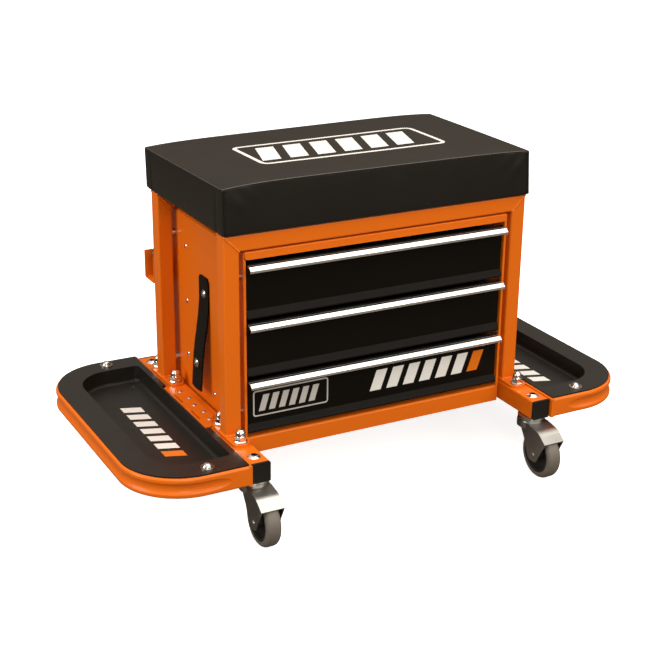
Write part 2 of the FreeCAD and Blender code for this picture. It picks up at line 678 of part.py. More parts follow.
def side_panel(side):
    sheet = block(span(side, "panel_inner", "cabinet_half"), ("cabinet_front", "cabinet_rear"),
                  ("cabinet_low", "cabinet_top - sheet"))
    hem = block(span(side, "cabinet_half - hem_width", "cabinet_half"),
                ("cabinet_front", "cabinet_front + hem_depth"), ("floor_top", "cabinet_top - header"))
    start = span(side, "panel_inner - overrun", "cabinet_half + overrun")[0]
    length = "sheet + 2 * overrun"
    tools = [rod("rivet_radius + thread_gap", length, (start, y, z), "x")
             for y, z in slide_rivet_places() + [("tab_y", "tab_rivet")]]
    for frame_y in ("front_frame_y", "rear_frame_y"):
        for z in cabinet_bolt_heights():
            tools.append(rod("cabinet_bolt_radius + bolt_hole_gap", length,
                             (start, cabinet_bolt_row(frame_y), z), "x"))
    if side < 0:
        tools.append(rod("rivet_radius + thread_gap", length,
                         (start, "shift + strap_setback", "strap_rivet"), "x"))
    return cut(fuse(sheet, hem), *tools)


def cabinet_top():
    """The top sheet, with its turned-down header that has rounded ends."""
    top = body()
    lid = draw(top, "YZ", [
        ("cabinet_front - sheet", "cabinet_top - header"), ("cabinet_front", "cabinet_top - header"),
        ("cabinet_front", "cabinet_top - sheet"), ("cabinet_rear", "cabinet_top - sheet"),
        ("cabinet_rear", "cabinet_top"), ("cabinet_front - sheet", "cabinet_top", "sheet")])
    pad(top, lid, "2 * (cabinet_half - header_inset)", both=True)
    ease(top, "header_corner", lambda edge: runs(edge, "y") and at(edge, "z", "cabinet_top - header"))
    return top


def cabinet_floor():
    """The floor sheet, folded down into the front rail and a rear skirt, with a tab up each side."""
    floor = body()
    fold = draw(floor, "YZ", [
        ("cabinet_front", "cabinet_low"), ("cabinet_front + rail_depth", "cabinet_low"),
        ("cabinet_front + rail_depth", "cabinet_low + sheet"),
        ("cabinet_front + sheet", "cabinet_low + sheet"),
        ("cabinet_front + sheet", "floor_top - sheet", "rail_corner - sheet"),
        ("cabinet_rear - sheet", "floor_top - sheet"), ("cabinet_rear - sheet", "floor_top - skirt"),
        ("cabinet_rear", "floor_top - skirt"), ("cabinet_rear", "floor_top"),
        ("cabinet_front", "floor_top", "rail_corner")])
    pad(floor, fold, "2 * panel_inner", both=True)
    tabs, holes = [], []
    for side in (-1, 1):
        x_span = span(side, "panel_inner - sheet", "panel_inner")
        tabs.append(block(x_span, ("tab_y - tab_half", "tab_y + tab_half"),
                          ("floor_top - sheet", "tab_top")))
        holes.append(rod("rivet_radius + thread_gap", "sheet + 2 * overrun",
                         ("%s - overrun" % x_span[0], "tab_y", "tab_rivet"), "x"))
    return cut(fuse(floor, *tabs), *holes)


def cabinet_back():
    return block(("-panel_inner", "panel_inner"), ("cabinet_rear - sheet", "cabinet_rear"),
                 ("floor_top", "cabinet_top - sheet"))


def cabinet_bolts():
    """Shoulder bolts, from inside the cabinet into the uprights' inner walls."""
    bolts = []
    gap = "frame_inner - cabinet_half"
    for side in (-1, 1):
        out = "x" if side > 0 else "-x"
        for frame_y in ("front_frame_y", "rear_frame_y"):
            for z in cabinet_bolt_heights():
                y = cabinet_bolt_row(frame_y)
                head = rod("cabinet_bolt_head_radius", "cabinet_bolt_head",
                           ("%d * (panel_inner - cabinet_bolt_head)" % side, y, z), out)
                shank = rod("cabinet_bolt_radius", "sheet + (%s) + cabinet_bolt_thread" % gap,
                            ("%d * panel_inner" % side, y, z), out)
                shoulder = rod("shoulder_radius", gap, ("%d * cabinet_half" % side, y, z), out)
                bolts.append(fuse(head, shank, shoulder))
    return group(*bolts)


for name, side in SIDES.items():
    node("side_panel_" + name, side_panel(side))
node("cabinet_top", cabinet_top())
node("cabinet_floor", cabinet_floor())
node("cabinet_back", cabinet_back())
node("cabinet_bolts", cabinet_bolts())


# Drawers: a folded box with a flared front, an extruded pull along its top, and two-part slides


def drawer_box(number):
    height = handle_height(number)
    face = body("0", "face_y", height)
    front = draw(face, "YZ", [
        ("0", "face_top"), ("0", "lip_rise - lip_drop"), ("-lip_reach", "lip_edge - lip_drop"),
        ("-lip_reach", "-lip_drop"), ("sheet - lip_reach", "-lip_drop"),
        ("sheet - lip_reach", "lip_edge - lip_drop"), ("sheet", "lip_rise - lip_drop"),
        ("sheet", "face_top")])
    pad(face, front, "2 * face_half", both=True)
    low, high = height + " - box_drop", height + " - drawer_box_top"
    shell = block(("-box_half", "box_half"), ("face_y + sheet", "box_rear"), (low, high))
    wall, hem = "drawer_sheet", "(drawer_sheet + drawer_hem)"
    room = block(("%s - box_half" % wall, "box_half - %s" % wall),
                 ("face_y + sheet + %s" % wall, "box_rear - %s" % wall),
                 (low + " + drawer_sheet", high + " - drawer_hem_depth"))
    mouth = block(("%s - box_half" % hem, "box_half - %s" % hem),
                  ("face_y + sheet + %s" % wall, "box_rear - %s" % hem),
                  (high + " - drawer_hem_depth", high + " + overrun"))
    return fuse(face, cut(shell, room, mouth))


def handle(number):
    """A channel-shaped pull with a round nose, in one extruded length."""
    pull = body("0", "face_y", handle_height(number))
    nose, bend = "-handle_depth", "nose_length - handle_depth"
    section = draw(pull, "YZ", [
        ("0", "-handle_low"), ("0", "handle_lip"), ("-handle_plate", "handle_lip"),
        ("-handle_plate", "handle_floor"), (bend, "handle_floor"), (bend, "nose_high"),
        (nose, "nose_high", "nose_radius"), (nose, "-nose_low", "nose_radius"),
        ("-handle_plate", "-nose_low"), ("-handle_plate", "-handle_low")])
    pad(pull, section, "2 * handle_half", both=True)
    return pull


def channel(side, web, step, half, height):
    """A slide member: a web at one place along X, with two flanges that reach sideways."""
    rail = body("0", "(slide_front + box_rear) / 2", height)
    thin, far = "%s + %s * slide_sheet" % (web, step), "%s + %s * slide_reach" % (web, step)
    lean = "(%s - slide_sheet)" % half
    corners = [(web, "-" + half), (web, half), (far, half), (far, lean), (thin, lean),
               (thin, "-" + lean), (far, "-" + lean), (far, "-" + half)]
    pad(rail, draw(rail, "XZ", mirrored(side, corners)), "box_rear - slide_front", both=True)
    return rail


def mirrored(side, corners):
    return [("%d * (%s)" % (side, corner[0]),) + corner[1:] for corner in corners]


def outer_rail(side, number):
    rail = channel(side, "panel_inner", "-1", "(slide_height / 2)", slide_height(number))
    holes = [rod("rivet_radius + thread_gap", "slide_sheet + 2 * overrun",
                 (span(side, "panel_inner - slide_sheet - overrun", "panel_inner + overrun")[0], y, z), "x")
             for y, z in slide_rivet_places() if z == slide_height(number)]
    return cut(rail, *holes)


def inner_rail(side, number):
    half = "(slide_height / 2 - slide_sheet - slide_running)"
    return channel(side, "box_half", "1", half, slide_height(number))


def panel_rivets():
    """The rivets that hold the slides and the floor's tabs to the side panels."""
    rivets = []
    for side in (-1, 1):
        out, back = ("x", "-x") if side > 0 else ("-x", "x")
        for y, z in slide_rivet_places() + [("tab_y", "tab_rivet")]:
            held = "slide_sheet" if y != "tab_y" else "sheet"
            web = "%d * (panel_inner - %s)" % (side, held)
            shank = rod("rivet_radius", "sheet + " + held, (web, y, z), out)
            tail = rod("rivet_tail_radius", "rivet_tail", (web, y, z), back)
            head = dome("rivet_head_radius", "rivet_head", ("%d * cabinet_half" % side, y, z), out)
            rivets.append(fuse(shank, tail, head))
    return group(*rivets)


for number, name in enumerate(DRAWERS):
    node("drawer_box_" + name, drawer_box(number))
    node("drawer_handle_" + name, handle(number))
    node("drawer_slide_" + name, group(inner_rail(-1, number), inner_rail(1, number)))
node("slide_outer_rails", group(*[outer_rail(side, number) for number in range(len(DRAWERS))
                                  for side in (-1, 1)]))
node("panel_rivets", panel_rivets())


# Tool strap: a webbing tail riveted to the left side, with a press stud near its end


def strap():
    webbing = body("0", "shift + strap_setback", "0")
    near = [("strap_gap", "strap_top"), ("strap_gap", "strap_leaves", "strap_bend"),
            ("strap_bow", "strap_bows", "strap_bend"), ("strap_end_bow", "strap_end")]
    far = [("%s + strap" % corner[0],) + corner[1:] for corner in reversed(near)]
    corners = [("-(cabinet_half + %s)" % corner[0],) + corner[1:] for corner in near + far]
    pad(webbing, draw(webbing, "XZ", corners), "strap_width", both=True)
    holes = [rod("rivet_radius + strap_hole_gap", "strap_end_bow + 2 * overrun",
                 ("-(cabinet_half + strap_end_bow + overrun)", "shift + strap_setback", z), "x")
             for z in ("strap_rivet", "strap_stud")]
    return cut(webbing, *holes)


def strap_rivets():
    """The rivet that holds the webbing, and the press stud in two halves on one post."""
    y = "shift + strap_setback"
    inside = "panel_inner - rivet_tail"
    head_at = "cabinet_half + strap + 2 * strap_gap"
    rivet = fuse(rod("rivet_radius", "%s - panel_inner" % head_at, ("-panel_inner", y, "strap_rivet"), "-x"),
                 rod("strap_rivet_radius", "rivet_tail", ("-(%s)" % inside, y, "strap_rivet"), "-x"),
                 dome("strap_rivet_radius", "strap_rivet_head", ("-(%s)" % head_at, y, "strap_rivet"), "-x"))
    lean = "(strap_end_bow - strap_bow) / (strap_bows - strap_end)"
    bow = "cabinet_half + strap_bow + (strap_bows - strap_stud) * %s" % lean
    tilt = "(stud_ring_radius * %s + strap_gap)" % lean
    inner, outer = "%s - %s" % (bow, tilt), "%s + strap + %s" % (bow, tilt)
    cap = ("-(%s + stud_ring)" % outer, y, "strap_stud")
    stud = fuse(rod("stud_ring_radius", "stud_ring", ("-(%s)" % inner, y, "strap_stud"), "x"),
                rod("rivet_radius", "strap + 2 * %s" % tilt, ("-(%s)" % inner, y, "strap_stud"), "-x"),
                rod("stud_ring_radius", "stud_ring", ("-(%s)" % outer, y, "strap_stud"), "-x"),
                dome("strap_rivet_radius", "strap_rivet_head", cap, "-x"))
    return group(rivet, stud)


node("tool_strap", strap())
node("strap_rivets", strap_rivets())


# Tool rack: an open sheet channel across the back, bolted to the rear frame's uprights


def tool_rack():
    rack = body()
    inner, hem = "rack_rear - rack_sheet", "rack_rear - rack_sheet - rack_hem_sheet"
    section = draw(rack, "YZ", [
        ("rack_front", "rack_low", "rack_corner"), ("rack_rear", "rack_low", "rack_corner"),
        ("rack_rear", "rack_high"), (hem, "rack_high"), (hem, "rack_high - rack_hem"),
        (inner, "rack_high - rack_hem"), (inner, "rack_low + rack_sheet"),
        ("rack_front + rack_sheet", "rack_low + rack_sheet"), ("rack_front + rack_sheet", "rack_high"),
        ("rack_front", "rack_high")])
    pad(rack, section, "2 * frame_outer", both=True)
    holes = [rod("rack_bolt_radius + thread_gap", "rack_depth + 2 * overrun",
                 ("%d * base_centre" % side, "rack_front - overrun", "rack_bolt_height"), "y")
             for side in (-1, 1)]
    return cut(rack, *holes)


def rack_bolts():
    bolts = []
    for side in (-1, 1):
        x = "%d * base_centre" % side
        shank = rod("rack_bolt_radius", "rack_depth + frame_tube / 2",
                    (x, "rear_frame_y", "rack_bolt_height"), "y")
        head = rod("rack_bolt_head_radius", "rack_bolt_head", (x, "rack_rear", "rack_bolt_height"), "y")
        bolts.append(fuse(shank, head))
    return group(*bolts)


node("tool_rack", tool_rack())
node("rack_bolts", rack_bolts())


# Tray hinges: riveted leaves on the base tubes, a long pin, and knuckles shared with the trays


def knuckle_row(side, first, reach):
    """Every other knuckle from the first one, and the web that carries it."""
    pieces = []
    for number in range(first, KNUCKLES, 2):
        low = "shift - hinge_half + %d * (knuckle + knuckle_gap)" % number
        pieces.append(rod("knuckle_radius", "knuckle", ("%d * hinge_x" % side, low, "hinge_z"), "y"))
        if reach:
            pieces.append(block(span(side, "bar_far - web", "bar_far"), (low, low + " + knuckle"),
                                ("hinge_notch", "hinge_z")))
    return pieces


def pin_bore(side):
    return rod("pin_radius + pin_running", "2 * (hinge_half + overrun)",
               ("%d * hinge_x" % side, "shift - hinge_half - overrun", "hinge_z"), "y")


def hinge_leaf(side):
    leaf = body("0", "shift", "base_top")
    near, bend, far = "leaf_inner", "base_outer + leaf_clear", "hinge_x"
    corners = [(near, "-leaf_inner_half"), (near, "leaf_inner_half"), (bend, "hinge_half"),
               (far, "hinge_half"), (far, "-hinge_half"), (bend, "-hinge_half")]
    pad(leaf, draw(leaf, "XY", mirrored(side, corners)), "hinge_sheet")
    tools = []
    for number in range(1, KNUCKLES, 2):
        low = "shift - hinge_half + %d * (knuckle + knuckle_gap) - knuckle_gap" % number
        x_span = span(side, "hinge_x - knuckle_radius - leaf_clear", "hinge_x + knuckle_radius")
        tools.append(block(x_span, (low, low + " + knuckle + 2 * knuckle_gap"),
                           ("base_top - overrun", "leaf_top + overrun")))
    holes = [rod("rivet_radius + thread_gap", "hinge_sheet + 2 * overrun", (x, y, "base_top - overrun"))
             for x, y in hinge_rivet_places(side)]
    trimmed = cut(leaf, *tools)
    return cut(fuse(trimmed, *knuckle_row(side, 0, False)), pin_bore(side), *holes)


def hinge_rivets():
    rivets = []
    for side in (-1, 1):
        for x, y in hinge_rivet_places(side):
            shank = rod("rivet_radius", "hinge_sheet + base_wall", (x, y, "base_top - base_wall"))
            tail = rod("rivet_tail_radius", "rivet_tail", (x, y, "base_top - base_wall"), "-z")
            rivets.append(fuse(shank, tail, dome("rivet_head_radius", "rivet_head", (x, y, "leaf_top"))))
    return group(*rivets)


def hinge_pins():
    pins = []
    for side in (-1, 1):
        x = "%d * hinge_x" % side
        start = "shift - hinge_half - knuckle_gap"
        shaft = rod("pin_radius", "2 * (hinge_half + knuckle_gap)", (x, start, "hinge_z"), "y")
        ends = [rod("pin_head_radius", "pin_head", (x, start, "hinge_z"), "-y"),
                rod("pin_head_radius", "pin_head", (x, "shift + hinge_half + knuckle_gap", "hinge_z"), "y")]
        pins.append(fuse(shaft, *ends))
    return group(*pins)


node("hinge_leaves", group(hinge_leaf(-1), hinge_leaf(1)))
node("hinge_rivets", hinge_rivets())
node("hinge_pins", hinge_pins())


# Fold-up trays: a bent tube with a rolled-in outer wall, closed by a flat bar, under a pressed pan


def tray_hoop(side, near, outside, inside):
    """The tube's plan: outside and inside are how far the walls lie in from its two faces."""
    out, half = "tray_reach - %s" % outside, "tray_half - %s" % outside
    room, reach = "tray_reach - tray_tube + %s" % inside, "tray_half - tray_tube + %s" % inside
    bend, tight = "tray_bend - %s" % outside, "tray_bend - tray_tube + %s" % inside
    return mirrored(side, [
        (near, half), (out, half, bend), (out, "-(%s)" % half, bend), (near, "-(%s)" % half),
        (near, "-(%s)" % reach), (room, "-(%s)" % reach, tight), (room, reach, tight), (near, reach)])


def tray_frame(side):
    tube = body("0", "shift", "tray_centre_height")
    pad(tube, draw(tube, "XY", tray_hoop(side, "bar_far", "0", "0")), "tray_tube", both=True)
    ease(tube, "tray_corner", lambda edge: not at(edge, "x", "%d * bar_far" % side)
         and (at(edge, "z", "tray_tube / 2") or at(edge, "z", "-tray_tube / 2")))
    room = draw(tube, "XY", tray_hoop(side, "bar_far", "(groove_depth + tray_wall)", "tray_wall"))
    pocket(tube, room, "tray_tube - 2 * tray_wall", both=True)
    bar = cut(block(span(side, "bar_near", "bar_far"), ("shift - tray_half", "shift + tray_half"),
                    ("tray_low", "tray_high")),
              block(span(side, "bar_near - overrun", "bar_far + overrun"),
                    ("shift - hinge_room", "shift + hinge_room"),
                    ("hinge_notch", "tray_high + overrun")))
    tools = groove_tools(side) + [pin_bore(side)]
    for x, y in tray_screw_places(side):
        tools.append(rod("tray_screw_radius + thread_gap", "tray_tube / 2",
                         (x, y, "tray_high - tray_tube / 2 + tray_wall")))
    return cut(fuse(tube, bar, *knuckle_row(side, 1, True)), *tools)


def groove_tools(side):
    """Round cutters that follow the outer wall, and leave it gently along the straight ends."""
    away = "(groove_radius - groove_depth)"
    x = "%d * (tray_reach - tray_bend)" % side
    straight = "(tray_half - tray_bend)"
    tools = [rod("groove_radius", "2 * " + straight, ("%d * (tray_reach + %s)" % (side, away),
                                                     "shift - " + straight, "tray_centre_height"), "y")]
    for end in (-1, 1):
        bend = doc.addObject("Part::Torus", "Bend")
        quarter = 0 if side * end > 0 else 90
        bend.Placement = Placement(Vector(), Rotation(Vector(0, 0, 1), quarter + (180 if end < 0 else 0)))
        bend.Angle3 = 90
        bend.setExpression("Radius1", ref("tray_bend + " + away))
        bend.setExpression("Radius2", ref("groove_radius"))
        place(bend, x, "shift + %d * %s" % (end, straight), "tray_centre_height")
        tools.append(bend)
        leave = doc.addObject("Part::Torus", "Leave")
        leave.setExpression("Radius1", ref("groove_run_out"))
        leave.setExpression("Radius2", ref("groove_radius"))
        place(leave, x, "shift + %d * (tray_half + %s + groove_run_out)" % (end, away), "tray_centre_height")
        tools.append(leave)
    return tools


def tray_pan(side):
    """A rim over the tube and a deep pressed recess, cut back where the hinge is."""
    pan = body("0", "shift", "tray_high")
    notch, near = "hinge_half + rim_end_gap", "rim_near"
    rim = [(near, "-rim_half"), ("rim_out", "-rim_half", "tray_bend - rim_margin"),
           ("rim_out", "rim_half", "tray_bend - rim_margin"), (near, "rim_half"), (near, notch),
           ("pan_near", notch), ("pan_near", "-(%s)" % notch), (near, "-(%s)" % notch)]
    pad(pan, draw(pan, "XY", mirrored(side, rim)), "rim")

    def bowl(wall):
        low, high = "recess_near - %s" % wall, "recess_far + %s" % wall
        half, small = "recess_half + %s" % wall, "pan_corner + %s" % wall
        large = "recess_corner + %s" % wall
        return mirrored(side, [(low, "-(%s)" % half, small), (high, "-(%s)" % half, large),
                               (high, half, large), (low, half, small)])

    pad(pan, draw(pan, "XY", bowl("pan_wall")), "recess_depth - rim + pan_wall", back=True)
    ease(pan, "pan_floor_round + pan_wall", lambda edge: at(edge, "z", "rim - recess_depth - pan_wall"))
    pocket(pan, draw(pan, "XY", bowl("0"), shift="rim"), "recess_depth")
    ease(pan, "pan_floor_round", lambda edge: at(edge, "z", "rim - recess_depth"))
    spots = [("recess_near + pip_near", "shift + recess_half - pip_inset"),
             ("recess_far - pip_far", "shift + pip_offset")]
    pips = [dome("pip_radius", "pip", ("%d * (%s)" % (side, x), y, "recess_floor")) for x, y in spots]
    holes = [rod("tray_screw_radius + bolt_hole_gap", "rim + 2 * overrun", (x, y, "tray_high - overrun"))
             for x, y in tray_screw_places(side)]
    return cut(fuse(pan, *pips), *holes)


def tray_screw_places(side):
    x = "%d * (bar_far + tray_screw_out)" % side
    return [(x, "shift + %d * (tray_half - tray_screw_inset)" % end) for end in (-1, 1)]


def tray_screws(side):
    screws = []
    for x, y in tray_screw_places(side):
        shank = rod("tray_screw_radius", "tray_screw_length", (x, y, "rim_top - tray_screw_length"))
        flange = rod("tray_screw_flange_radius", "tray_screw_flange", (x, y, "rim_top"))
        head = dome("tray_screw_dome_radius", "tray_screw_dome", (x, y, "rim_top + tray_screw_flange"))
        screws.append(fuse(shank, flange, head))
    return group(*screws)


for name, side in SIDES.items():
    node("tray_frame_" + name, tray_frame(side))
    node("tray_pan_" + name, tray_pan(side))
    node("tray_screws_" + name, tray_screws(side))


# Castors: a headed stem with the upper race, a pressed fork that swivels on it, and the wheel


def castor_stem(x, y):
    """The stem stands in the base tube and holds the fork's top plate over its head."""
    head_top = "fork_under - king_gap"
    stem = rod("stem_radius", "base_height + stem_rise - (%s)" % head_top, (x, y, head_top))
    head = rod("king_head_radius", "king_head", (x, y, "%s - king_head" % head_top))
    return fuse(stem, head, rod("race_radius", "race_height", (x, y, "race_low")))


def castor_nut(x, y):
    low = "base_top - castor_nut_length"
    barrel = rod("castor_nut_barrel", "castor_nut_length", (x, y, low))
    flange = dome("castor_nut_radius", "castor_nut_flange", (x, y, "base_top"))
    thread = rod("stem_radius + thread_gap", "castor_nut_length - socket_depth", (x, y, low))
    socket = doc.addObject("Part::Prism", "Socket")
    socket.Polygon = 6
    socket.setExpression("Circumradius", ref("socket_radius"))
    socket.setExpression("Height", ref("socket_depth + castor_nut_flange + overrun"))
    place(socket, x, y, "base_top - socket_depth")
    return cut(fuse(barrel, flange), thread, socket)


def castor_fork(x, y):
    """Two cheeks under a broad sloping cover, with a round cup pressed over the bearing."""
    fork = body(x, y, "0")
    axle, boss = "wheel_radius", "fork_boss"
    cheek = draw(fork, "YZ", [
        ("0", "fork_top"), ("-fork_flat", "fork_top", "fork_flat_round"),
        ("-fork_crown_at", "fork_crown", "fork_crown_round"), ("-fork_lip", "fork_lip_height"),
        ("-(trail + %s)" % boss, "%s - %s" % (axle, boss), "fork_boss_round"),
        ("%s - trail" % boss, "%s - %s" % (axle, boss), "fork_boss_round"),
        ("-fork_waist", "fork_waist_height", "fork_waist_round"), ("0", "fork_back_height")])
    pad(fork, cheek, "fork_width", both=True)
    past = "overrun * (fork_crown - fork_lip_height) / (fork_lip - fork_crown_at)"
    slope = "fork_sheet * fork_slope_share"
    room = draw(fork, "YZ", [
        ("overrun", "fork_under"), ("-fork_flat", "fork_under", "fork_flat_round"),
        ("-fork_crown_at", "fork_crown - %s" % slope, "fork_crown_round"),
        ("-(fork_lip + overrun)", "fork_lip_height - %s - %s" % (slope, past)),
        ("-(fork_lip + overrun)", "-overrun"), ("overrun", "-overrun")])
    pocket(fork, room, "fork_width - 2 * fork_sheet", both=True)
    cup = cut(rod("fork_cup_radius", "fork_cup_fall", (x, y, "fork_cup_low")),
              rod("fork_cup_radius - fork_sheet", "fork_cup_fall - fork_sheet", (x, y, "fork_cup_low")),
              block(("%s - fork_width / 2 + fork_sheet" % x, "%s + fork_width / 2 - fork_sheet" % x),
                    ("%s - fork_cup_radius - overrun" % y, y), ("fork_cup_low - overrun", "fork_under")))
    race = rod("lower_race_radius", "lower_race", (x, y, "fork_top"))
    stem_hole = rod("stem_radius + stem_running", "lower_race + 2 * overrun",
                    (x, y, "fork_top - overrun"))
    axle_hole = rod("axle_radius + thread_gap", "fork_width + 2 * overrun",
                    ("%s - fork_width / 2 - overrun" % x, "%s - trail" % y, "wheel_radius"), "x")
    return cut(fuse(fork, cup, race), stem_hole, axle_hole)


def castor_axle(x, y):
    start = "%s - fork_width / 2" % x
    end = "%s + fork_width / 2" % x
    across = "%s - trail" % y
    return fuse(rod("axle_radius", "fork_width", (start, across, "wheel_radius"), "x"),
                rod("axle_head_radius", "axle_head", (start, across, "wheel_radius"), "-x"),
                rod("axle_head_radius", "axle_head", (end, across, "wheel_radius"), "x"))


def castor_hub(x, y):
    hub = body(x, "%s - trail" % y, "wheel_radius")
    bore, boss, web, rim = "axle_radius + axle_running", "hub_width / 2", "hub_web / 2", "hub_rim / 2"
    inside = "hub_radius - hub_rim_sheet"
    right = [(boss, bore), (boss, "hub_boss_radius"), (web, "hub_boss_radius"), (web, inside),
             (rim, inside), (rim, "hub_radius")]
    left = [("-(%s)" % one, other) for one, other in reversed(right)]
    turned(hub, right + left, "H_Axis")
    return hub


def castor_tyre(x, y):
    tyre = body(x, "%s - trail" % y, "wheel_radius")
    half, bore = "wheel_width / 2", "hub_radius + thread_gap"
    tread = "tyre_depth * tread_share"
    turned(tyre, [("-(%s)" % half, bore), (half, bore), (half, "wheel_radius", tread),
                  ("-(%s)" % half, "wheel_radius", tread)], "H_Axis")
    return tyre


castor_places = []
for end, y in (("front", "castor_front_y"), ("rear", "castor_rear_y")):
    for name, side in SIDES.items():
        castor_places.append((end + "_" + name, "%d * base_centre" % side, y))
node("castor_stems", group(*[castor_stem(x, y) for name, x, y in castor_places]))
node("castor_nuts", group(*[castor_nut(x, y) for name, x, y in castor_places]))
for name, x, y in castor_places:
    node("castor_fork_" + name, castor_fork(x, y))
    node("castor_axle_" + name, castor_axle(x, y))
    node("castor_hub_" + name, castor_hub(x, y))
    node("castor_tyre_" + name, castor_tyre(x, y))


# Check every piece and write one file for each node

doc.recompute()
for piece in doc.Objects:
    if "Invalid" in piece.State or "Error" in piece.State:
        raise ValueError("failed: %s %s" % (piece.Name, piece.Label))
os.makedirs("parts", exist_ok=True)
for piece in nodes:
    if piece.Shape.isNull() or not piece.Shape.isValid():
        raise ValueError("bad shape: " + piece.Label)
    piece.Shape.exportStep("parts/%s.step" % piece.Label)
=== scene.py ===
import math
import random

import bmesh
import bpy
from mathutils import Matrix, Vector


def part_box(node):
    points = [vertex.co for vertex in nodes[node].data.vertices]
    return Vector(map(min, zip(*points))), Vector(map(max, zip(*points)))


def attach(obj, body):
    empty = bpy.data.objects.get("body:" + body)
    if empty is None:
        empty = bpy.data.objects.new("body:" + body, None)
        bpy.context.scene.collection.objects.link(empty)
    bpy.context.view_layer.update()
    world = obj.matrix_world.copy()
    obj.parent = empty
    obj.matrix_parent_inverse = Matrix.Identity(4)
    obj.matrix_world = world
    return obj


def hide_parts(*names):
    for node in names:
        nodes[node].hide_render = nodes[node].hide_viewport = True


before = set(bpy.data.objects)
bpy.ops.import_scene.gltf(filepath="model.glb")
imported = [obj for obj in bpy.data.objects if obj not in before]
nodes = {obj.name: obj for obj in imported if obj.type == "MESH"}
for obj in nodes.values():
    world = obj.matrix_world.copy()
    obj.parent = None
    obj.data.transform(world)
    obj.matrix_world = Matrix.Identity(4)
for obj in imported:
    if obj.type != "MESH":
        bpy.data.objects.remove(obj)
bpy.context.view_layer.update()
scene = bpy.context.scene

# Welded steel: the base tubes, the front and rear arches on their foot plates, the cabinet's folded
# sheets, the tool rack, the hinge leaves and the trays' tube frames. All are mild steel under one
# glossy orange powder coat, which lies thinner along every edge; each edge is painted paler, partly
# for that thinner coat and partly as a painted highlight.


def new_group(name, inputs, outputs):
    """A shader group with its sockets, and what it is given and gives."""
    tree = bpy.data.node_groups.new(name, "ShaderNodeTree")
    for label, kind, value in inputs:
        socket = tree.interface.new_socket(label, in_out="INPUT", socket_type="NodeSocket" + kind)
        socket.default_value = value
    for label, kind in outputs:
        tree.interface.new_socket(label, in_out="OUTPUT", socket_type="NodeSocket" + kind)
    given = tree.nodes.new("NodeGroupInput").outputs
    gives = tree.nodes.new("NodeGroupOutput").inputs
    return tree, given, gives


def feed(tree, made, feeds):
    """Sets each input to a value, or joins it to the output that feeds it."""
    for key, value in feeds.items():
        if isinstance(value, bpy.types.NodeSocket):
            tree.links.new(value, made.inputs[key])
        else:
            made.inputs[key].default_value = value
    return made.outputs


def add(tree, kind, feeds, **settings):
    """A new node, given its settings and what feeds it; gives its outputs."""
    made = tree.nodes.new("ShaderNode" + kind)
    for key, value in settings.items():
        setattr(made, key, value)
    return feed(tree, made, feeds)


def sums(tree, operation, *values):
    """The result of one step of arithmetic on numbers."""
    return add(tree, "Math", dict(enumerate(values)), operation=operation)[0]


def vectors(tree, operation, *values):
    """The results of one step of arithmetic on vectors."""
    return add(tree, "VectorMath", dict(enumerate(values)), operation=operation)


def bare(name):
    """A new material, its node tree and its shader."""
    material = bpy.data.materials.new(name)
    material.use_nodes = True
    return material, material.node_tree, material.node_tree.nodes["Principled BSDF"]


def use(tree, group, feeds):
    """A shader group placed in a tree."""
    made = tree.nodes.new("ShaderNodeGroup")
    made.node_tree = group
    return feed(tree, made, feeds)


def lay_over(tree, mask, under, over):
    """One colour over another, where the mask is."""
    return add(tree, "Mix", {0: mask, 6: under, 7: over}, data_type="RGBA")[2]


# cloudy: a colour that drifts a little lighter and darker over the surface
cloudy, given, gives = new_group(
    "cloudy", [("Colour", "Color", (1, 1, 1, 1)), ("Scale", "Float", 6), ("Amount", "Float", 0.1)],
    [("Colour", "Color")])
spot = add(cloudy, "TexCoord", {})["Object"]
cloud = add(cloudy, "TexNoise", {"Vector": spot, "Scale": given["Scale"], "Detail": 4})["Fac"]
drift = sums(cloudy, "MULTIPLY", sums(cloudy, "SUBTRACT", cloud, 0.5), given["Amount"])
shade = add(cloudy, "HueSaturation", {"Value": sums(cloudy, "MULTIPLY_ADD", drift, 2, 1),
                                      "Color": given["Colour"]})
cloudy.links.new(shade[0], gives["Colour"])

# orange_peel: the fine dimpled skin of sprayed, baked or moulded surfaces, and the breaks in its gloss
orange_peel, given, gives = new_group(
    "orange_peel", [("Scale", "Float", 700), ("Roughness", "Float", 0.3), ("Breaks", "Float", 0.06)],
    [("Height", "Float"), ("Roughness", "Float")])
spot = add(orange_peel, "TexCoord", {})["Object"]
dimple = add(orange_peel, "TexNoise", {"Vector": spot, "Scale": given["Scale"], "Detail": 2})["Fac"]
smear = add(orange_peel, "TexNoise", {"Vector": spot, "Scale": 35, "Detail": 3})["Fac"]
break_up = sums(orange_peel, "MULTIPLY", sums(orange_peel, "SUBTRACT", smear, 0.5), given["Breaks"])
orange_peel.links.new(dimple, gives["Height"])
orange_peel.links.new(sums(orange_peel, "MULTIPLY_ADD", break_up, 2, given["Roughness"]), gives["Roughness"])

# worn_and_highlit_edges: the thin line along each edge where a finish is thinner and rubbed; the finishes paint
# it paler, partly for that and partly as a painted highlight
worn_and_highlit_edges, given, gives = new_group(
    "worn_and_highlit_edges", [("Radius", "Float", 0.001), ("Strength", "Float", 1)], [("Mask", "Float")])
rounded = add(worn_and_highlit_edges, "Bevel", {"Radius": given["Radius"]}, samples=4)["Normal"]
plain = add(worn_and_highlit_edges, "NewGeometry", {})["Normal"]
turned = sums(worn_and_highlit_edges, "SUBTRACT", 1, vectors(worn_and_highlit_edges, "DOT_PRODUCT", rounded, plain)["Value"])
spot = add(worn_and_highlit_edges, "TexCoord", {})["Object"]
pale_mark = add(worn_and_highlit_edges, "TexNoise", {"Vector": spot, "Scale": 120, "Detail": 3})["Fac"]
line = sums(worn_and_highlit_edges, "MULTIPLY", sums(worn_and_highlit_edges, "MULTIPLY", turned, pale_mark), 8)
line = add(worn_and_highlit_edges, "Clamp", {"Value": line})[0]
worn_and_highlit_edges.links.new(sums(worn_and_highlit_edges, "MULTIPLY", line, given["Strength"]), gives["Mask"])

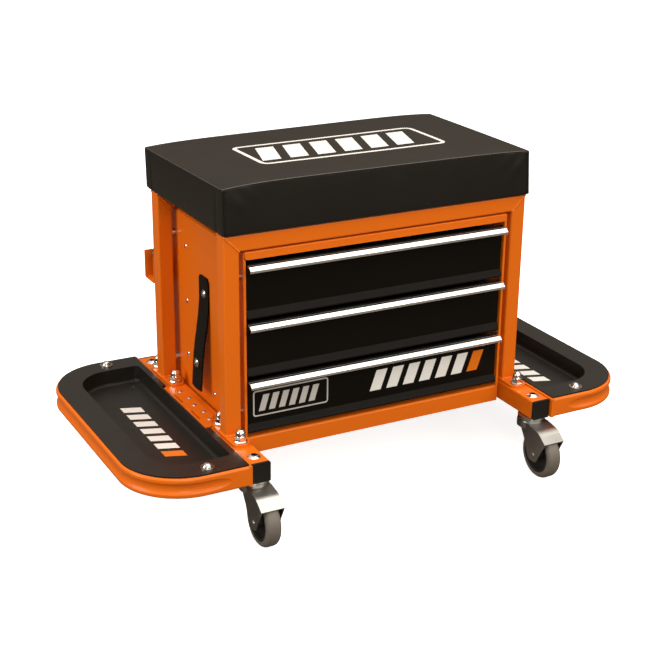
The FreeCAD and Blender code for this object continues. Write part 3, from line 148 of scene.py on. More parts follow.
# settled_dust: a thin film on what faces up
settled_dust, given, gives = new_group("settled_dust", [("Amount", "Float", 0.1)], [("Mask", "Float")])
facing = add(settled_dust, "SeparateXYZ", {0: add(settled_dust, "NewGeometry", {})["Normal"]})["Z"]
spot = add(settled_dust, "TexCoord", {})["Object"]
patch = add(settled_dust, "TexNoise", {"Vector": spot, "Scale": 22, "Detail": 6})["Fac"]
film = sums(settled_dust, "MULTIPLY", add(settled_dust, "Clamp", {"Value": facing})[0], patch)
settled_dust.links.new(sums(settled_dust, "MULTIPLY", film, given["Amount"]), gives["Mask"])


def finish(name, colour, edge_colour, roughness, metallic=0.0, cloud=(7, 0.05), peel=(700, 0.05, 0.05),
           edge=(0.0008, 0.5), dust=0.04, specular=0.5, prints=()):
    """A finish over metal or plastic: its colour, its edges painted pale (partly a thin coat, partly a painted
    highlight), its prints, its dust and its skin.
    """
    material, tree, shader = bare(name)
    feed(tree, shader, {"Metallic": metallic, "Specular IOR Level": specular})
    scale, amount = cloud
    paint = use(tree, cloudy, {"Colour": (*colour, 1), "Scale": scale, "Amount": amount})["Colour"]
    radius, strength = edge
    # each edge is painted paler: partly a thinner, rubbed coat, partly a painted highlight along the edge
    rim = use(tree, worn_and_highlit_edges, {"Radius": radius, "Strength": strength})["Mask"]
    paint = lay_over(tree, rim, paint, (*edge_colour, 1))
    for draw in prints:
        paint = draw(tree, paint)
    film = use(tree, settled_dust, {"Amount": dust})["Mask"]
    paint = lay_over(tree, film, paint, (0.42, 0.38, 0.33, 1))
    scale, depth, breaks = peel
    skin = use(tree, orange_peel, {"Scale": scale, "Roughness": roughness, "Breaks": breaks})
    bump = add(tree, "Bump", {"Height": skin["Height"], "Strength": depth, "Distance": 0.0004})
    feed(tree, shader, {"Base Color": paint, "Roughness": skin["Roughness"], "Normal": bump["Normal"]})
    return material


def dress(material, *names):
    """Gives CAD nodes their finish."""
    for name in names:
        nodes[name].material_slots[0].material = material


powder_orange = finish("powder_orange", (0.72, 0.142, 0.0045), (0.88, 0.26, 0.015), 0.34,
                       cloud=(5, 0.05), peel=(520, 0.10, 0.05), dust=0.008, specular=0.26)
dress(powder_orange, "front_frame", "rear_frame", "foot_plates", "base_tube_left", "base_tube_right",
      "side_panel_left", "side_panel_right", "cabinet_top", "cabinet_back", "cabinet_floor", "tool_rack",
      "hinge_leaves", "tray_frame_left", "tray_frame_right")

# Weld beads: each arch is three lengths of square tube mitred and welded at its top corners, with its
# feet welded to the plates. The beads were laid by hand before painting, so the coat covers them.
hand = random.Random(7)


def lay_bead(mesh, start, end, radius, step):
    """Overlapped drops of metal along a line, each a little different."""
    start, end = Vector(start), Vector(end)
    drops = max(2, round((end - start).length / step))
    for drop in range(drops + 1):
        size = radius * hand.uniform(0.85, 1.12)
        spot = start.lerp(end, drop / drops)
        bmesh.ops.create_icosphere(mesh, subdivisions=2, radius=size, matrix=Matrix.Translation(spot))


def piece(name, mesh, material, body, smooth=True):
    """An object of the finished mesh, at the origin, that rides on a body."""
    data = bpy.data.meshes.new(name)
    mesh.to_mesh(data)
    mesh.free()
    for face in data.polygons:
        face.use_smooth = smooth
    data.materials.append(material)
    made = bpy.data.objects.new(name, data)
    scene.collection.objects.link(made)
    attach(made, body)
    return made


arch_outer, arch_inner, arch_top, tube = 0.208, 0.188, 0.354, 0.020
arch_fronts, foot_top = (-0.09025, 0.11375), 0.1055
mitre_bead, mitre_step, mitre_sunk = 0.0016, 0.0013, 0.0006
foot_bead, foot_step, flank_bead, flank_step = 0.0023, 0.0024, 0.0012, 0.0016
welds = bmesh.new()
for front in arch_fronts:
    for side in (-1, 1):
        for face in (front + mitre_sunk, front + tube - mitre_sunk):
            lay_bead(welds, (side * (arch_inner + 0.0005), face, arch_top - tube + 0.0005),
                     (side * (arch_outer - 0.0012), face, arch_top - 0.0012), mitre_bead, mitre_step)
        for face in (front - 0.0002, front + tube + 0.0002):
            lay_bead(welds, (side * (arch_inner + 0.001), face, foot_top),
                     (side * (arch_outer - 0.001), face, foot_top), foot_bead, foot_step)
        for flank in (arch_inner, arch_outer):
            lay_bead(welds, (side * flank, front + 0.002, foot_top),
                     (side * flank, front + tube - 0.002, foot_top), flank_bead, flank_step)
arch_welds = piece("arch_welds", welds, powder_orange, "frame")

# End plugs: each open end of a base tube is closed by a moulded black plastic plug with a square head,
# whose shank is pushed into the tube.
plug_plastic = finish("plug_plastic", (0.0080, 0.0068, 0.0050), (0.030, 0.026, 0.022), 0.5,
                      cloud=(20, 0.12), peel=(1500, 0.25, 0.08), dust=0.02, specular=0.27)
dress(plug_plastic, "tube_end_caps")

# Bolts, nuts, screws and rivets: steel under bright zinc plate, faintly blue and clouded from the bath.
# The dome nuts over the washers and the castor nuts are nickel-plated and polished.
bright_zinc = finish("bright_zinc", (0.52, 0.51, 0.49), (0.80, 0.79, 0.77), 0.26, metallic=1.0,
                     cloud=(60, 0.12), peel=(260, 0.12, 0.16), dust=0.03)
polished_nickel = finish("polished_nickel", (0.78, 0.77, 0.75), (0.92, 0.92, 0.90), 0.12, metallic=1.0,
                         cloud=(40, 0.05), peel=(200, 0.03, 0.06), edge=(0.0006, 0.4), dust=0.01)
dress(bright_zinc, "foot_washers", "foot_bolts", "castor_stems", "cabinet_bolts", "rack_bolts", "seat_screws",
      "panel_rivets", "hinge_rivets", "hinge_pins", "tray_screws_left", "tray_screws_right", "strap_rivets")
dress(polished_nickel, "acorn_nuts", "castor_nuts")

# Seat board: plywood, sawn to size and let into the underside of the cushion. It is screwed to the
# arches from below, so little of it shows.
ply, tree, shader = bare("birch_ply")
spot = add(tree, "TexCoord", {})["Object"]
along = add(tree, "Mapping", {"Vector": spot, "Scale": (6, 120, 40)})["Vector"]
figure = add(tree, "TexNoise", {"Vector": along, "Scale": 1.5, "Detail": 6, "Distortion": 0.8})["Fac"]
layers = add(tree, "TexWave", {"Vector": spot, "Scale": 95, "Distortion": 1.2}, bands_direction="Z")["Fac"]
wood = add(tree, "ValToRGB", {"Fac": figure})["Color"]
ramp = tree.nodes[-1].color_ramp
ramp.elements[0].position, ramp.elements[0].color = 0.3, (0.30, 0.185, 0.095, 1)
ramp.elements[1].position, ramp.elements[1].color = 0.7, (0.52, 0.37, 0.21, 1)
wood = lay_over(tree, sums(tree, "MULTIPLY", layers, 0.35), wood, (0.24, 0.14, 0.07, 1))
raised = add(tree, "Bump", {"Height": figure, "Strength": 0.2, "Distance": 0.0004})["Normal"]
feed(tree, shader, {"Base Color": wood, "Roughness": sums(tree, "MULTIPLY_ADD", figure, 0.2, 0.55),
                    "Normal": raised})
dress(ply, "seat_board")

# Seat cushion: black vinyl pulled over firm foam and stapled under the board. Its top is crowned, its
# folded edges are tight and crisp, and at each corner the spare vinyl is tucked in a pleat. A white frame
# with leaning bars is printed on the top.

# printed_frame: the line of a rectangle with rounded corners
printed_frame, given, gives = new_group(
    "printed_frame", [("Vector", "Vector", (0, 0, 0)), ("Half", "Vector", (0.1, 0.05, 0)),
                      ("Radius", "Float", 0.008), ("Line", "Float", 0.002)], [("Mask", "Float")])
mirrored = vectors(printed_frame, "ABSOLUTE", given["Vector"])[0]
inset = vectors(printed_frame, "SUBTRACT", mirrored, given["Half"])[0]
corner = add(printed_frame, "CombineXYZ", {0: given["Radius"], 1: given["Radius"]})[0]
inset = vectors(printed_frame, "ADD", inset, corner)[0]
apart = add(printed_frame, "SeparateXYZ", {0: inset})
outside = vectors(printed_frame, "LENGTH", vectors(printed_frame, "MAXIMUM", add(
    printed_frame, "CombineXYZ", {0: apart["X"], 1: apart["Y"]})[0], (0, 0, 0))[0])["Value"]
inside = sums(printed_frame, "MINIMUM", sums(printed_frame, "MAXIMUM", apart["X"], apart["Y"]), 0)
reach = sums(printed_frame, "SUBTRACT", sums(printed_frame, "ADD", outside, inside), given["Radius"])
off_line = sums(printed_frame, "SUBTRACT", sums(printed_frame, "ABSOLUTE", reach),
                sums(printed_frame, "MULTIPLY", given["Line"], 0.5))
printed_frame.links.new(add(printed_frame, "MapRange", {
    "Value": off_line, "From Min": -0.0001, "From Max": 0.0001, "To Min": 1, "To Max": 0})[0], gives["Mask"])

# slanted_bars: a row of leaning bars, and which of them is the last
slanted_bars, given, gives = new_group(
    "slanted_bars", [("Vector", "Vector", (0, 0, 0)), ("Half", "Vector", (0.1, 0.03, 0)),
                     ("Bars", "Float", 6), ("Lean", "Float", 0.35), ("Fill", "Float", 0.62)],
    [("Mask", "Float"), ("Last", "Float")])
apart = add(slanted_bars, "SeparateXYZ", {0: given["Vector"]})
half = add(slanted_bars, "SeparateXYZ", {0: given["Half"]})
leaned = sums(slanted_bars, "SUBTRACT", apart["X"], sums(slanted_bars, "MULTIPLY", apart["Y"], given["Lean"]))
run = sums(slanted_bars, "DIVIDE", sums(slanted_bars, "ADD", leaned, half["X"]),
           sums(slanted_bars, "MULTIPLY", half["X"], 2))
count = sums(slanted_bars, "MULTIPLY", run, given["Bars"])
bar = sums(slanted_bars, "LESS_THAN", sums(slanted_bars, "FRACT", count), given["Fill"])
started = sums(slanted_bars, "GREATER_THAN", count, 0)
ended = sums(slanted_bars, "LESS_THAN", count, given["Bars"])
in_height = sums(slanted_bars, "LESS_THAN", sums(slanted_bars, "ABSOLUTE", apart["Y"]), half["Y"])
mask = sums(slanted_bars, "MULTIPLY", sums(slanted_bars, "MULTIPLY", bar, in_height),
            sums(slanted_bars, "MULTIPLY", started, ended))
last = sums(slanted_bars, "GREATER_THAN", count, sums(slanted_bars, "SUBTRACT", given["Bars"], 1))
slanted_bars.links.new(mask, gives["Mask"])
slanted_bars.links.new(last, gives["Last"])


def print_place(tree, centre, turn, within):
    """The print's own coordinates about its centre, and a mask that keeps it on its own face."""
    spot = add(tree, "TexCoord", {})["Object"]
    moved = vectors(tree, "SUBTRACT", spot, centre)[0]
    turned = add(tree, "VectorRotate", {"Vector": moved, "Rotation": turn}, rotation_type="EULER_XYZ")[0]
    depth = add(tree, "SeparateXYZ", {0: turned})["Z"]
    near = sums(tree, "LESS_THAN", sums(tree, "ABSOLUTE", depth), within)
    return turned, near


white_ink, orange_ink = (0.80, 0.79, 0.76, 1), (0.72, 0.17, 0.01, 1)


def seat_print(tree, paint):
    """A white rounded frame with plain leaning bars in it, printed on the cushion's top."""
    place, near = print_place(tree, (-0.0005, 0.0185, 0.4150), (0, 0, 0), within=0.008)
    frame_mask = use(tree, printed_frame, {"Vector": place, "Half": (0.1258, 0.0458, 0),
                                           "Radius": 0.009, "Line": 0.0052})["Mask"]
    bars = use(tree, slanted_bars, {"Vector": place, "Half": (0.111, 0.031, 0), "Bars": 6,
                                    "Lean": 0.30, "Fill": 0.66})["Mask"]
    mask = sums(tree, "MULTIPLY", sums(tree, "MAXIMUM", frame_mask, bars), near)
    return lay_over(tree, mask, paint, white_ink)


def vinyl(name, prints=()):
    """Soft black vinyl: a fine pebbled grain over broad, shallow puckers, with a painted highlight along its
    folds.
    """
    material, tree, shader = bare(name)
    spot = add(tree, "TexCoord", {})["Object"]
    paint = use(tree, cloudy, {"Colour": (0.0078, 0.0061, 0.0040, 1), "Scale": 9, "Amount": 0.10})["Colour"]
    for draw in prints:
        paint = draw(tree, paint)
    # each fold is painted pale along its middle: a painted highlight on the folded edge
    angle = add(tree, "Attribute", {}, attribute_name="fold")["Fac"]
    off_fold = sums(tree, "ABSOLUTE", sums(tree, "SUBTRACT", angle, 0.52))
    pale_mark = add(tree, "MapRange", {"Value": off_fold, "From Min": 0.05, "From Max": 0.16,
                                 "To Min": 0.9, "To Max": 0})[0]
    paint = lay_over(tree, pale_mark, paint, (0.125, 0.110, 0.088, 1))
    film = use(tree, settled_dust, {"Amount": 0.03})["Mask"]
    paint = lay_over(tree, film, paint, (0.30, 0.24, 0.18, 1))
    pebble = add(tree, "TexVoronoi", {"Vector": spot, "Scale": 900, "Smoothness": 0.6}, feature="SMOOTH_F1")[0]
    pucker = add(tree, "TexNoise", {"Vector": spot, "Scale": 26, "Detail": 3})["Fac"]
    skin = use(tree, orange_peel, {"Scale": 500, "Roughness": 0.40, "Breaks": 0.05})
    fine = add(tree, "Bump", {"Height": pebble, "Strength": 0.22, "Distance": 0.0003})["Normal"]
    broad = add(tree, "Bump", {"Height": pucker, "Strength": 0.25, "Distance": 0.0012, "Normal": fine})
    feed(tree, shader, {"Base Color": paint, "Roughness": skin["Roughness"], "Normal": broad["Normal"],
                        "Specular IOR Level": 0.32})
    return material


seat_vinyl = vinyl("seat_vinyl", prints=(seat_print,))
seat_half, seat_front, seat_back, seat_base, seat_top = 0.2100, -0.0942, 0.1446, 0.3533, 0.4109
seat_middle, seat_deep = (seat_front + seat_back) / 2, (seat_back - seat_front) / 2
seat_fold, seat_lean, seat_skew, seat_held, foot_held = 0.0014, 0.0010, 0.0030, 0.0045, 0.004
foam = bmesh.new()
bmesh.ops.create_cube(foam, size=1, matrix=Matrix.Translation(
    (0, seat_middle, (seat_base + seat_top) / 2)) @ Matrix.Diagonal(
    (seat_half * 2, seat_deep * 2, seat_top - seat_base, 1)))
corners = [edge for edge in foam.edges if abs(edge.verts[0].co.z - edge.verts[1].co.z) > 0.01]
bmesh.ops.bevel(foam, geom=corners, offset=0.0016, segments=3, profile=0.5, affect="EDGES", material=-1)
rims = [edge for edge in foam.edges if min(corner.co.z for corner in edge.verts) > seat_top - 0.0001
        and any(abs(face.normal.z) < 0.5 for face in edge.link_faces)]
bmesh.ops.bevel(foam, geom=rims, offset=seat_fold, segments=3, profile=0.5, affect="EDGES", material=-1)
block = piece("foam_block", foam, seat_vinyl, "frame")


def made_real(source):
    """The mesh that an object's modifiers give."""
    return bpy.data.meshes.new_from_object(source.evaluated_get(bpy.context.evaluated_depsgraph_get()))


def stuffed(name, source, voxel, pressure, reach, held):
    """A copy of the source, evenly meshed and blown up as cloth round its filling, held where it is tight."""
    even = source.modifiers.new("even", "REMESH")
    even.mode, even.voxel_size = "VOXEL", voxel
    cover = bpy.data.objects.new(name, made_real(source))
    scene.collection.objects.link(cover)
    bpy.data.objects.remove(source)
    fixed = cover.vertex_groups.new(name="fixed")
    fixed.add([point.index for point in cover.data.vertices if held(point.co)], 1.0, "REPLACE")
    cloth = cover.modifiers.new("Cloth", "CLOTH")
    cloth.settings.quality = 5
    cloth.settings.mass = 0.3
    cloth.settings.tension_stiffness = cloth.settings.compression_stiffness = 25
    cloth.settings.shear_stiffness = 12
    cloth.settings.bending_stiffness = 2.0
    cloth.settings.use_pressure = True
    cloth.settings.uniform_pressure_force = pressure
    cloth.settings.vertex_group_mass = "fixed"
    cloth.settings.effector_weights.gravity = 0
    cloth.collision_settings.use_collision = False
    cloth.point_cache.frame_start, cloth.point_cache.frame_end = 1, 20
    for step in range(1, cloth.point_cache.frame_end + 1):
        scene.frame_set(step)
    blown = made_real(cover)
    for point, end in zip(cover.data.vertices, blown.vertices):
        move = end.co - point.co
        if move.length > 1e-6:
            point.co += move * (reach * math.tanh(move.length / reach) / move.length)
    cover.modifiers.remove(cloth)
    scene.frame_set(1)
    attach(cover, "frame")
    return cover


def seat_tight(at):
    """True near the folded edges and the stapled foot, where the vinyl is pulled hard over the foam."""
    depths = (seat_half - abs(at.x), seat_deep - abs(at.y - seat_middle), seat_top - at.z)
    return sum(depth < seat_held for depth in depths) > 1 or at.z < seat_base + foot_held


def corner_lift(across, deep):
    """How much higher than the straight block the top sits towards each corner: most in front."""
    return -0.00075 + 0.00115 * across - 0.00115 * deep + 0.00065 * across * deep


def seat_crown(across, deep):
    """How far the stuffing lifts the top, most in the middle and a little more at the left in front."""
    full = 0.0034 + 0.0008 * (1 - deep * deep) - 0.0005 * across * (1 - deep)
    return full * max(0.0, 1 - abs(across) ** 6)


def swell(value, centre, spread):
    """A smooth rise to 1 at a centre."""
    return math.exp(-((value - centre) / spread) ** 2)


pleat_wide, pleat_proud, pleat_sunk, pleat_tall, pleat_arch = 0.0088, 0.0030, 0.0022, 0.0532, 0.83
seat = stuffed("seat_pad", block, voxel=0.0036, pressure=3, reach=0.0016, held=seat_tight)
finer = seat.modifiers.new("finer", "SUBSURF")
finer.levels = finer.render_levels = 1
crisp = bmesh.new()
crisp.from_mesh(made_real(seat))
for inset in (0.0004, 0.0012, 0.0026):
    for spot, facing in (((seat_half - inset, 0, 0), (1, 0, 0)), ((inset - seat_half, 0, 0), (1, 0, 0)),
                         ((0, seat_front + inset, 0), (0, 1, 0)), ((0, seat_back - inset, 0), (0, 1, 0)),
                         ((0, 0, seat_top - inset), (0, 0, 1))):
        bmesh.ops.bisect_plane(crisp, geom=crisp.verts[:] + crisp.edges[:] + crisp.faces[:],
                               plane_co=spot, plane_no=facing)
seat.modifiers.clear()
crisp.to_mesh(seat.data)
fold_angle = seat.data.attributes.new("fold", "FLOAT", "POINT")
room = Vector((seat_half - seat_fold, seat_deep - seat_fold, seat_top - seat_base - seat_fold))
for point in seat.data.vertices:
    # the folds are drawn tight to one small radius
    away = Vector((point.co.x, point.co.y - seat_middle, point.co.z - seat_base))
    core = Vector((max(-room.x, min(room.x, away.x)), max(-room.y, min(room.y, away.y)),
                   max(seat_fold, min(room.z, away.z))))
    out = away - core
    if sum(part > 1e-5 for part in (abs(out.x), abs(out.y), out.z)) > 1:
        point.co += out * (seat_fold / out.length - 1)
    turned = math.atan2(max(0.0, out.z), math.hypot(out.x, out.y))
    fold_angle.data[point.index].value = turned / (math.pi / 2)
    across, deep = point.co.x / seat_half, (point.co.y - seat_middle) / seat_deep
    rise = (point.co.z - seat_base) / (seat_top - seat_base)
    point.co.z += (corner_lift(across, deep) + seat_crown(across, deep)) * max(0.0, rise)
    # two soft ridges run down from each top corner over the front and back
    if 0.03 < rise < 0.97 and abs(deep) > 0.94:
        aside, down = seat_half - abs(point.co.x), seat_top - point.co.z
        along, off = (aside + down) / math.sqrt(2), (aside - down) / math.sqrt(2)
        ridge = 0.0011 * swell(off, 0, 0.007) * swell(along, 0.024, 0.015)
        second = 0.0006 * swell(off, 0.018, 0.006) * swell(along, 0.030, 0.014)
        point.co.y += math.copysign(ridge + second, deep)
    # the pleats draw a crease in the front and back, and a groove down the sides
    if rise < 0.93 and abs(deep) > 0.985:
        crease = 0.0024 * swell(seat_half - abs(point.co.x), 0.0034, 0.0013)
        point.co.y -= math.copysign(crease, deep)
    if rise < 0.9 and abs(across) > 0.97:
        inward = seat_deep - abs(point.co.y - seat_middle)
        point.co.x -= math.copysign(0.0014 * swell(inward, 2 * pleat_wide + 0.0026, 0.0019), across)
    # the block leans a little, and its right front corner is drawn in
    skew = seat_skew * ((1 - deep) / 2) ** 2 * rise if across > 0 else 0
    point.co.x += seat_lean * (0.4 - rise) - skew * across
for face in seat.data.polygons:
    face.use_smooth = True
seat.data.materials.clear()
seat.data.materials.append(seat_vinyl)
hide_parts("seat_cushion")

# pleats: a flattened, round-topped roll of spare vinyl down each side's two ends
pleats = bmesh.new()
for side in (-1, 1):
    for end, inward in ((seat_front, 1), (seat_back, -1)):
        before = set(pleats.verts)
        bmesh.ops.create_cone(pleats, cap_ends=True, segments=24, radius1=1, radius2=1, depth=1,
                              matrix=Matrix.Translation((0, 0, 0.5)))
        uprights = [edge for edge in pleats.edges if edge.verts[0] not in before
                    and abs(edge.verts[0].co.z - edge.verts[1].co.z) > 0.5]
        bmesh.ops.subdivide_edges(pleats, edges=uprights, cuts=30, use_grid_fill=False)
        for corner in [corner for corner in pleats.verts if corner not in before]:
            share = corner.co.z
            narrow = math.sqrt(max(0.0, 1 - max(0.0, (share - pleat_arch) / (1 - pleat_arch)) ** 2))
            wander = 0.0005 * math.sin(share * 5 + side)
            full_x, full_y = (math.copysign(abs(part) ** 0.6, part) for part in (corner.co.x, corner.co.y))
            corner.co = (side * (seat_half - pleat_sunk) + seat_lean * (0.4 - share)
                         + full_x * (pleat_sunk + pleat_proud * narrow ** 0.5),
                         end + inward * (pleat_wide - 0.0009 + wander) + full_y * pleat_wide * narrow,
                         seat_base + 0.0008 + share * (pleat_tall + corner_lift(side, -inward)))
bmesh.ops.recalc_face_normals(pleats, faces=pleats.faces)
corner_pleats = piece("corner_pleats", pleats, seat_vinyl, "frame")

# Tool strap: a tail of ribbed black webbing riveted flat to the cabinet's left side near its top, from
# where it bows away from the sheet; a press stud sits near its loose lower end.
strap_top, strap_end, strap_leaves, strap_bows = 0.268, 0.122, 0.244, 0.168
strap_centre, strap_wide, strap_thick, strap_flat = 0.0262, 0.0258, 0.0017, 0.1829
strap_bow, strap_end_bow, strap_long = 0.010, 0.013, 0.146
rib_count, rib_high, tooth_deep, warp_count = 44, 0.00030, 0.0021, 17
pitch = strap_long / rib_count
webbing, tree, shader = bare("ribbed_webbing")
weave = add(tree, "UVMap", {}, uv_map="weave")[0]
apart = add(tree, "SeparateXYZ", {0: weave})
rib = sums(tree, "SINE", sums(tree, "MULTIPLY", apart["Y"], 2 * math.pi * rib_count))
warp = sums(tree, "SINE", sums(tree, "MULTIPLY", apart["X"], 2 * math.pi * warp_count))
knit = sums(tree, "MULTIPLY", sums(tree, "ABSOLUTE", warp), 0.45)
height = sums(tree, "ADD", sums(tree, "MULTIPLY", rib, 0.5), knit)
fuzz = add(tree, "TexNoise", {"Vector": add(tree, "TexCoord", {})["Object"], "Scale": 2600, "Detail": 3})["Fac"]
thread = use(tree, cloudy, {"Colour": (0.032, 0.027, 0.021, 1), "Scale": 60, "Amount": 0.25})["Colour"]
# the low parts between the ribs and between the threads are painted near-black: painted shade in the grooves
shade = sums(tree, "MULTIPLY_ADD", height, 0.95, 0.25)
thread = lay_over(tree, add(tree, "Clamp", {"Value": shade})[0], (0.0015, 0.0013, 0.0010, 1), thread)
ribs = add(tree, "Bump", {"Height": height, "Strength": 0.8, "Distance": 0.0004})["Normal"]
fuzzed = add(tree, "Bump", {"Height": fuzz, "Strength": 0.3, "Distance": 0.0002, "Normal": ribs})["Normal"]
feed(tree, shader, {"Base Color": thread, "Roughness": sums(tree, "MULTIPLY_ADD", fuzz, 0.2, 0.62),
                    "Normal": fuzzed, "Specular IOR Level": 0.03})


def strap_offset(height):
    """How far the webbing stands off the sheet at a height: flat, then an easy S out to its bow."""
    if height > strap_bows:
        share = min(1.0, max(0.0, (strap_leaves - height) / (strap_leaves - strap_bows + 0.012)))
        return strap_bow * share * share * (3 - 2 * share)
    return strap_bow + (strap_end_bow - strap_bow) * (strap_bows - height) / (strap_bows - strap_end)


tail = bmesh.new()
bmesh.ops.create_grid(tail, x_segments=12, y_segments=264, size=0.5, calc_uvs=True)
weave_map = tail.loops.layers.uv.verify()
for face in tail.faces:
    for corner in face.loops:
        corner[weave_map].uv = (corner.vert.co.x + 0.5, corner.vert.co.y + 0.5)
for corner in tail.verts:
    across, share = corner.co.x, corner.co.y + 0.5
    height = strap_end + share * strap_long
    from_top = strap_top - height
    round_top = math.sqrt(max(0.0, 1 - max(0.0, 1 - from_top / 0.006) ** 2))
    half = strap_wide / 2 - 0.006 * (1 - round_top)
    tooth = tooth_deep * (1 - abs(2 * ((height / pitch) % 1) - 1))
    rib_lift = rib_high * math.sin(height / pitch * 2 * math.pi)
    cup = 0.0009 * (across * 2) ** 2 * min(1.0, strap_offset(height) / 0.006)
    corner.co = (-strap_flat - strap_offset(height) - rib_lift + cup,
                 strap_centre + across * 2 * (half + tooth) * (0.985 if share < 0.01 else 1), height)
strap = piece("webbing_strap", tail, webbing, "frame")
strap.data.uv_layers[0].name = "weave"
thick = strap.modifiers.new("thick", "SOLIDIFY")
thick.thickness, thick.offset = strap_thick, -1
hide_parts("tool_strap")

# Drawers: three folded sheet-steel trays under satin black powder coat, the lowest one deeper, each with
# a lip folded forward along its foot. The lowest front carries a plain framed box and leaning bars.


def bar_row(tree, paint, centre, turn, within, half):
    """A row of seven leaning bars printed about a centre, the last one orange."""
    place, near = print_place(tree, centre, turn, within)
    bars = use(tree, slanted_bars, {"Vector": place, "Half": half, "Bars": 7, "Lean": 0.35, "Fill": 0.66})
    ink = lay_over(tree, bars["Last"], white_ink, orange_ink)
    return lay_over(tree, sums(tree, "MULTIPLY", bars["Mask"], near), paint, ink)


def drawer_print(tree, paint):
    """A pale framed box of bars at the left of the drawer's front, and a row of bars at its right."""
    place, near = print_place(tree, (-0.1195, -0.08525, 0.1385), (-math.pi / 2, 0, 0), within=0.0006)
    box = use(tree, printed_frame, {"Vector": place, "Half": (0.0500, 0.0160, 0), "Radius": 0.003,
                                    "Line": 0.0018})["Mask"]
    rows = use(tree, slanted_bars, {"Vector": place, "Half": (0.0405, 0.0105, 0), "Bars": 6, "Lean": 0.30,
                                    "Fill": 0.62})["Mask"]
    marks = sums(tree, "MULTIPLY", sums(tree, "MAXIMUM", box, rows), near)
    paint = lay_over(tree, marks, paint, (0.50, 0.48, 0.46, 1))
    return bar_row(tree, paint, (0.0790, -0.08525, 0.1380), (-math.pi / 2, 0, 0), 0.0006, (0.0840, 0.0135, 0))


for coat, prints, boxes in (("drawer_black", (), ("drawer_box_top", "drawer_box_middle")),
                            ("marked_black", (drawer_print,), ("drawer_box_bottom",))):
    black = finish(coat, (0.0062, 0.0052, 0.0040), (0.022, 0.019, 0.015), 0.34, cloud=(12, 0.10),
                   peel=(620, 0.14, 0.06), dust=0.005, specular=0.05, prints=prints)
    dress(black, *boxes)

# Drawer pulls: one length of aluminium moulding screwed along each drawer's top edge. Its flat back is
# painted near-black, a painted reflection of the dark drawer front above it; from it a steep polished
# facet falls to an upright foot, and fingers hook up behind it from below.
pull_short, dark_reflection_ends, dark_reflection_starts = 0.0010, 0.0066, 0.0052
pull_section = ((0, 0.0043), (-0.0096, 0.0035), (-0.0136, -0.0003), (-0.0136, -0.0037), (-0.0122, -0.0037),
                (-0.0122, -0.0009), (-0.0090, 0.0018), (-0.0022, 0.0022), (-0.0022, -0.0060), (0, -0.0060))
pull_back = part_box("drawer_handle_top")[1][1]
drawn_aluminium, tree, shader = bare("drawn_aluminium")
spot = add(tree, "TexCoord", {})["Object"]
along = add(tree, "Mapping", {"Vector": spot, "Scale": (4, 900, 900)})["Vector"]
lines = add(tree, "TexNoise", {"Vector": along, "Scale": 1, "Detail": 4})["Fac"]
metal = use(tree, cloudy, {"Colour": (0.84, 0.84, 0.83, 1), "Scale": 14, "Amount": 0.05})["Colour"]
# the edges are painted paler: partly rubbing, partly a painted highlight along the edge
rim = use(tree, worn_and_highlit_edges, {"Radius": 0.0006, "Strength": 0.5})["Mask"]
metal = lay_over(tree, rim, metal, (0.93, 0.93, 0.92, 1))
# the back is painted near-black, dull and not metal: a painted reflection of the dark drawer front above it
outward = add(tree, "SeparateXYZ", {0: spot})["Y"]
painted_reflection = add(tree, "MapRange", {"Value": outward, "From Min": pull_back - dark_reflection_ends,
                                 "From Max": pull_back - dark_reflection_starts})[0]
metal = lay_over(tree, painted_reflection, metal, (0.0085, 0.0070, 0.0055, 1))
brushed = sums(tree, "MULTIPLY_ADD", lines, 0.08, 0.20)
scored = add(tree, "Bump", {"Height": lines, "Strength": 0.02, "Distance": 0.0001})["Normal"]
feed(tree, shader, {"Base Color": metal, "Metallic": sums(tree, "SUBTRACT", 1, painted_reflection),
                    "Roughness": sums(tree, "MULTIPLY_ADD", painted_reflection, 0.3, brushed), "Normal": scored,
                    "Specular IOR Level": 0.2})
for place in ("top", "middle", "bottom"):
    low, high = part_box("drawer_handle_" + place)
    moulding = bmesh.new()
    section = [moulding.verts.new((low[0] + pull_short, pull_back + out, low[2] + 0.006 + rise))
               for out, rise in pull_section]
    end_face = moulding.faces.new(section)
    length = high[0] - low[0] - 2 * pull_short
    drawn = bmesh.ops.extrude_face_region(moulding, geom=[end_face])["geom"]
    bmesh.ops.translate(moulding, verts=[part for part in drawn if isinstance(part, bmesh.types.BMVert)],
                        vec=(length, 0, 0))
    eased = [edge for edge in moulding.edges if abs(edge.verts[0].co.x - edge.verts[1].co.x) > 0.1
             and edge.verts[0].co.y < pull_back - 0.001]
    bmesh.ops.bevel(moulding, geom=eased, offset=0.0006, segments=3, profile=0.5, affect="EDGES", material=-1)
    bmesh.ops.recalc_face_normals(moulding, faces=moulding.faces)
    pull = piece("drawer_pull_" + place, moulding, drawn_aluminium, "drawer_" + place, smooth=False)
    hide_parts("drawer_handle_" + place)

# Drawer slides: pressed zinc-plated channels, the outer ones riveted to the cabinet's sides. The inner
# ones lie along the drawers' sides and run inside them.
slide_zinc = finish("slide_zinc", (0.55, 0.55, 0.54), (0.82, 0.82, 0.81), 0.34, metallic=1.0,
                    cloud=(40, 0.10), peel=(180, 0.10, 0.14), dust=0.05)
dress(slide_zinc, "slide_outer_rails", "drawer_slide_top", "drawer_slide_middle", "drawer_slide_bottom")

# Trays: a vacuum-formed black plastic dish lies on each tube frame, held by two screws, with a fine
# pebbled floor. Plain leaning bars are printed along its floor, the last one orange.


def tray_prints(centre, turn):
    """The bars on a tray's floor, centred at a point and turned to read from the tray's outer side."""
    return lambda tree, paint: bar_row(tree, paint, centre, turn, 0.0012, (0.082, 0.0125, 0))


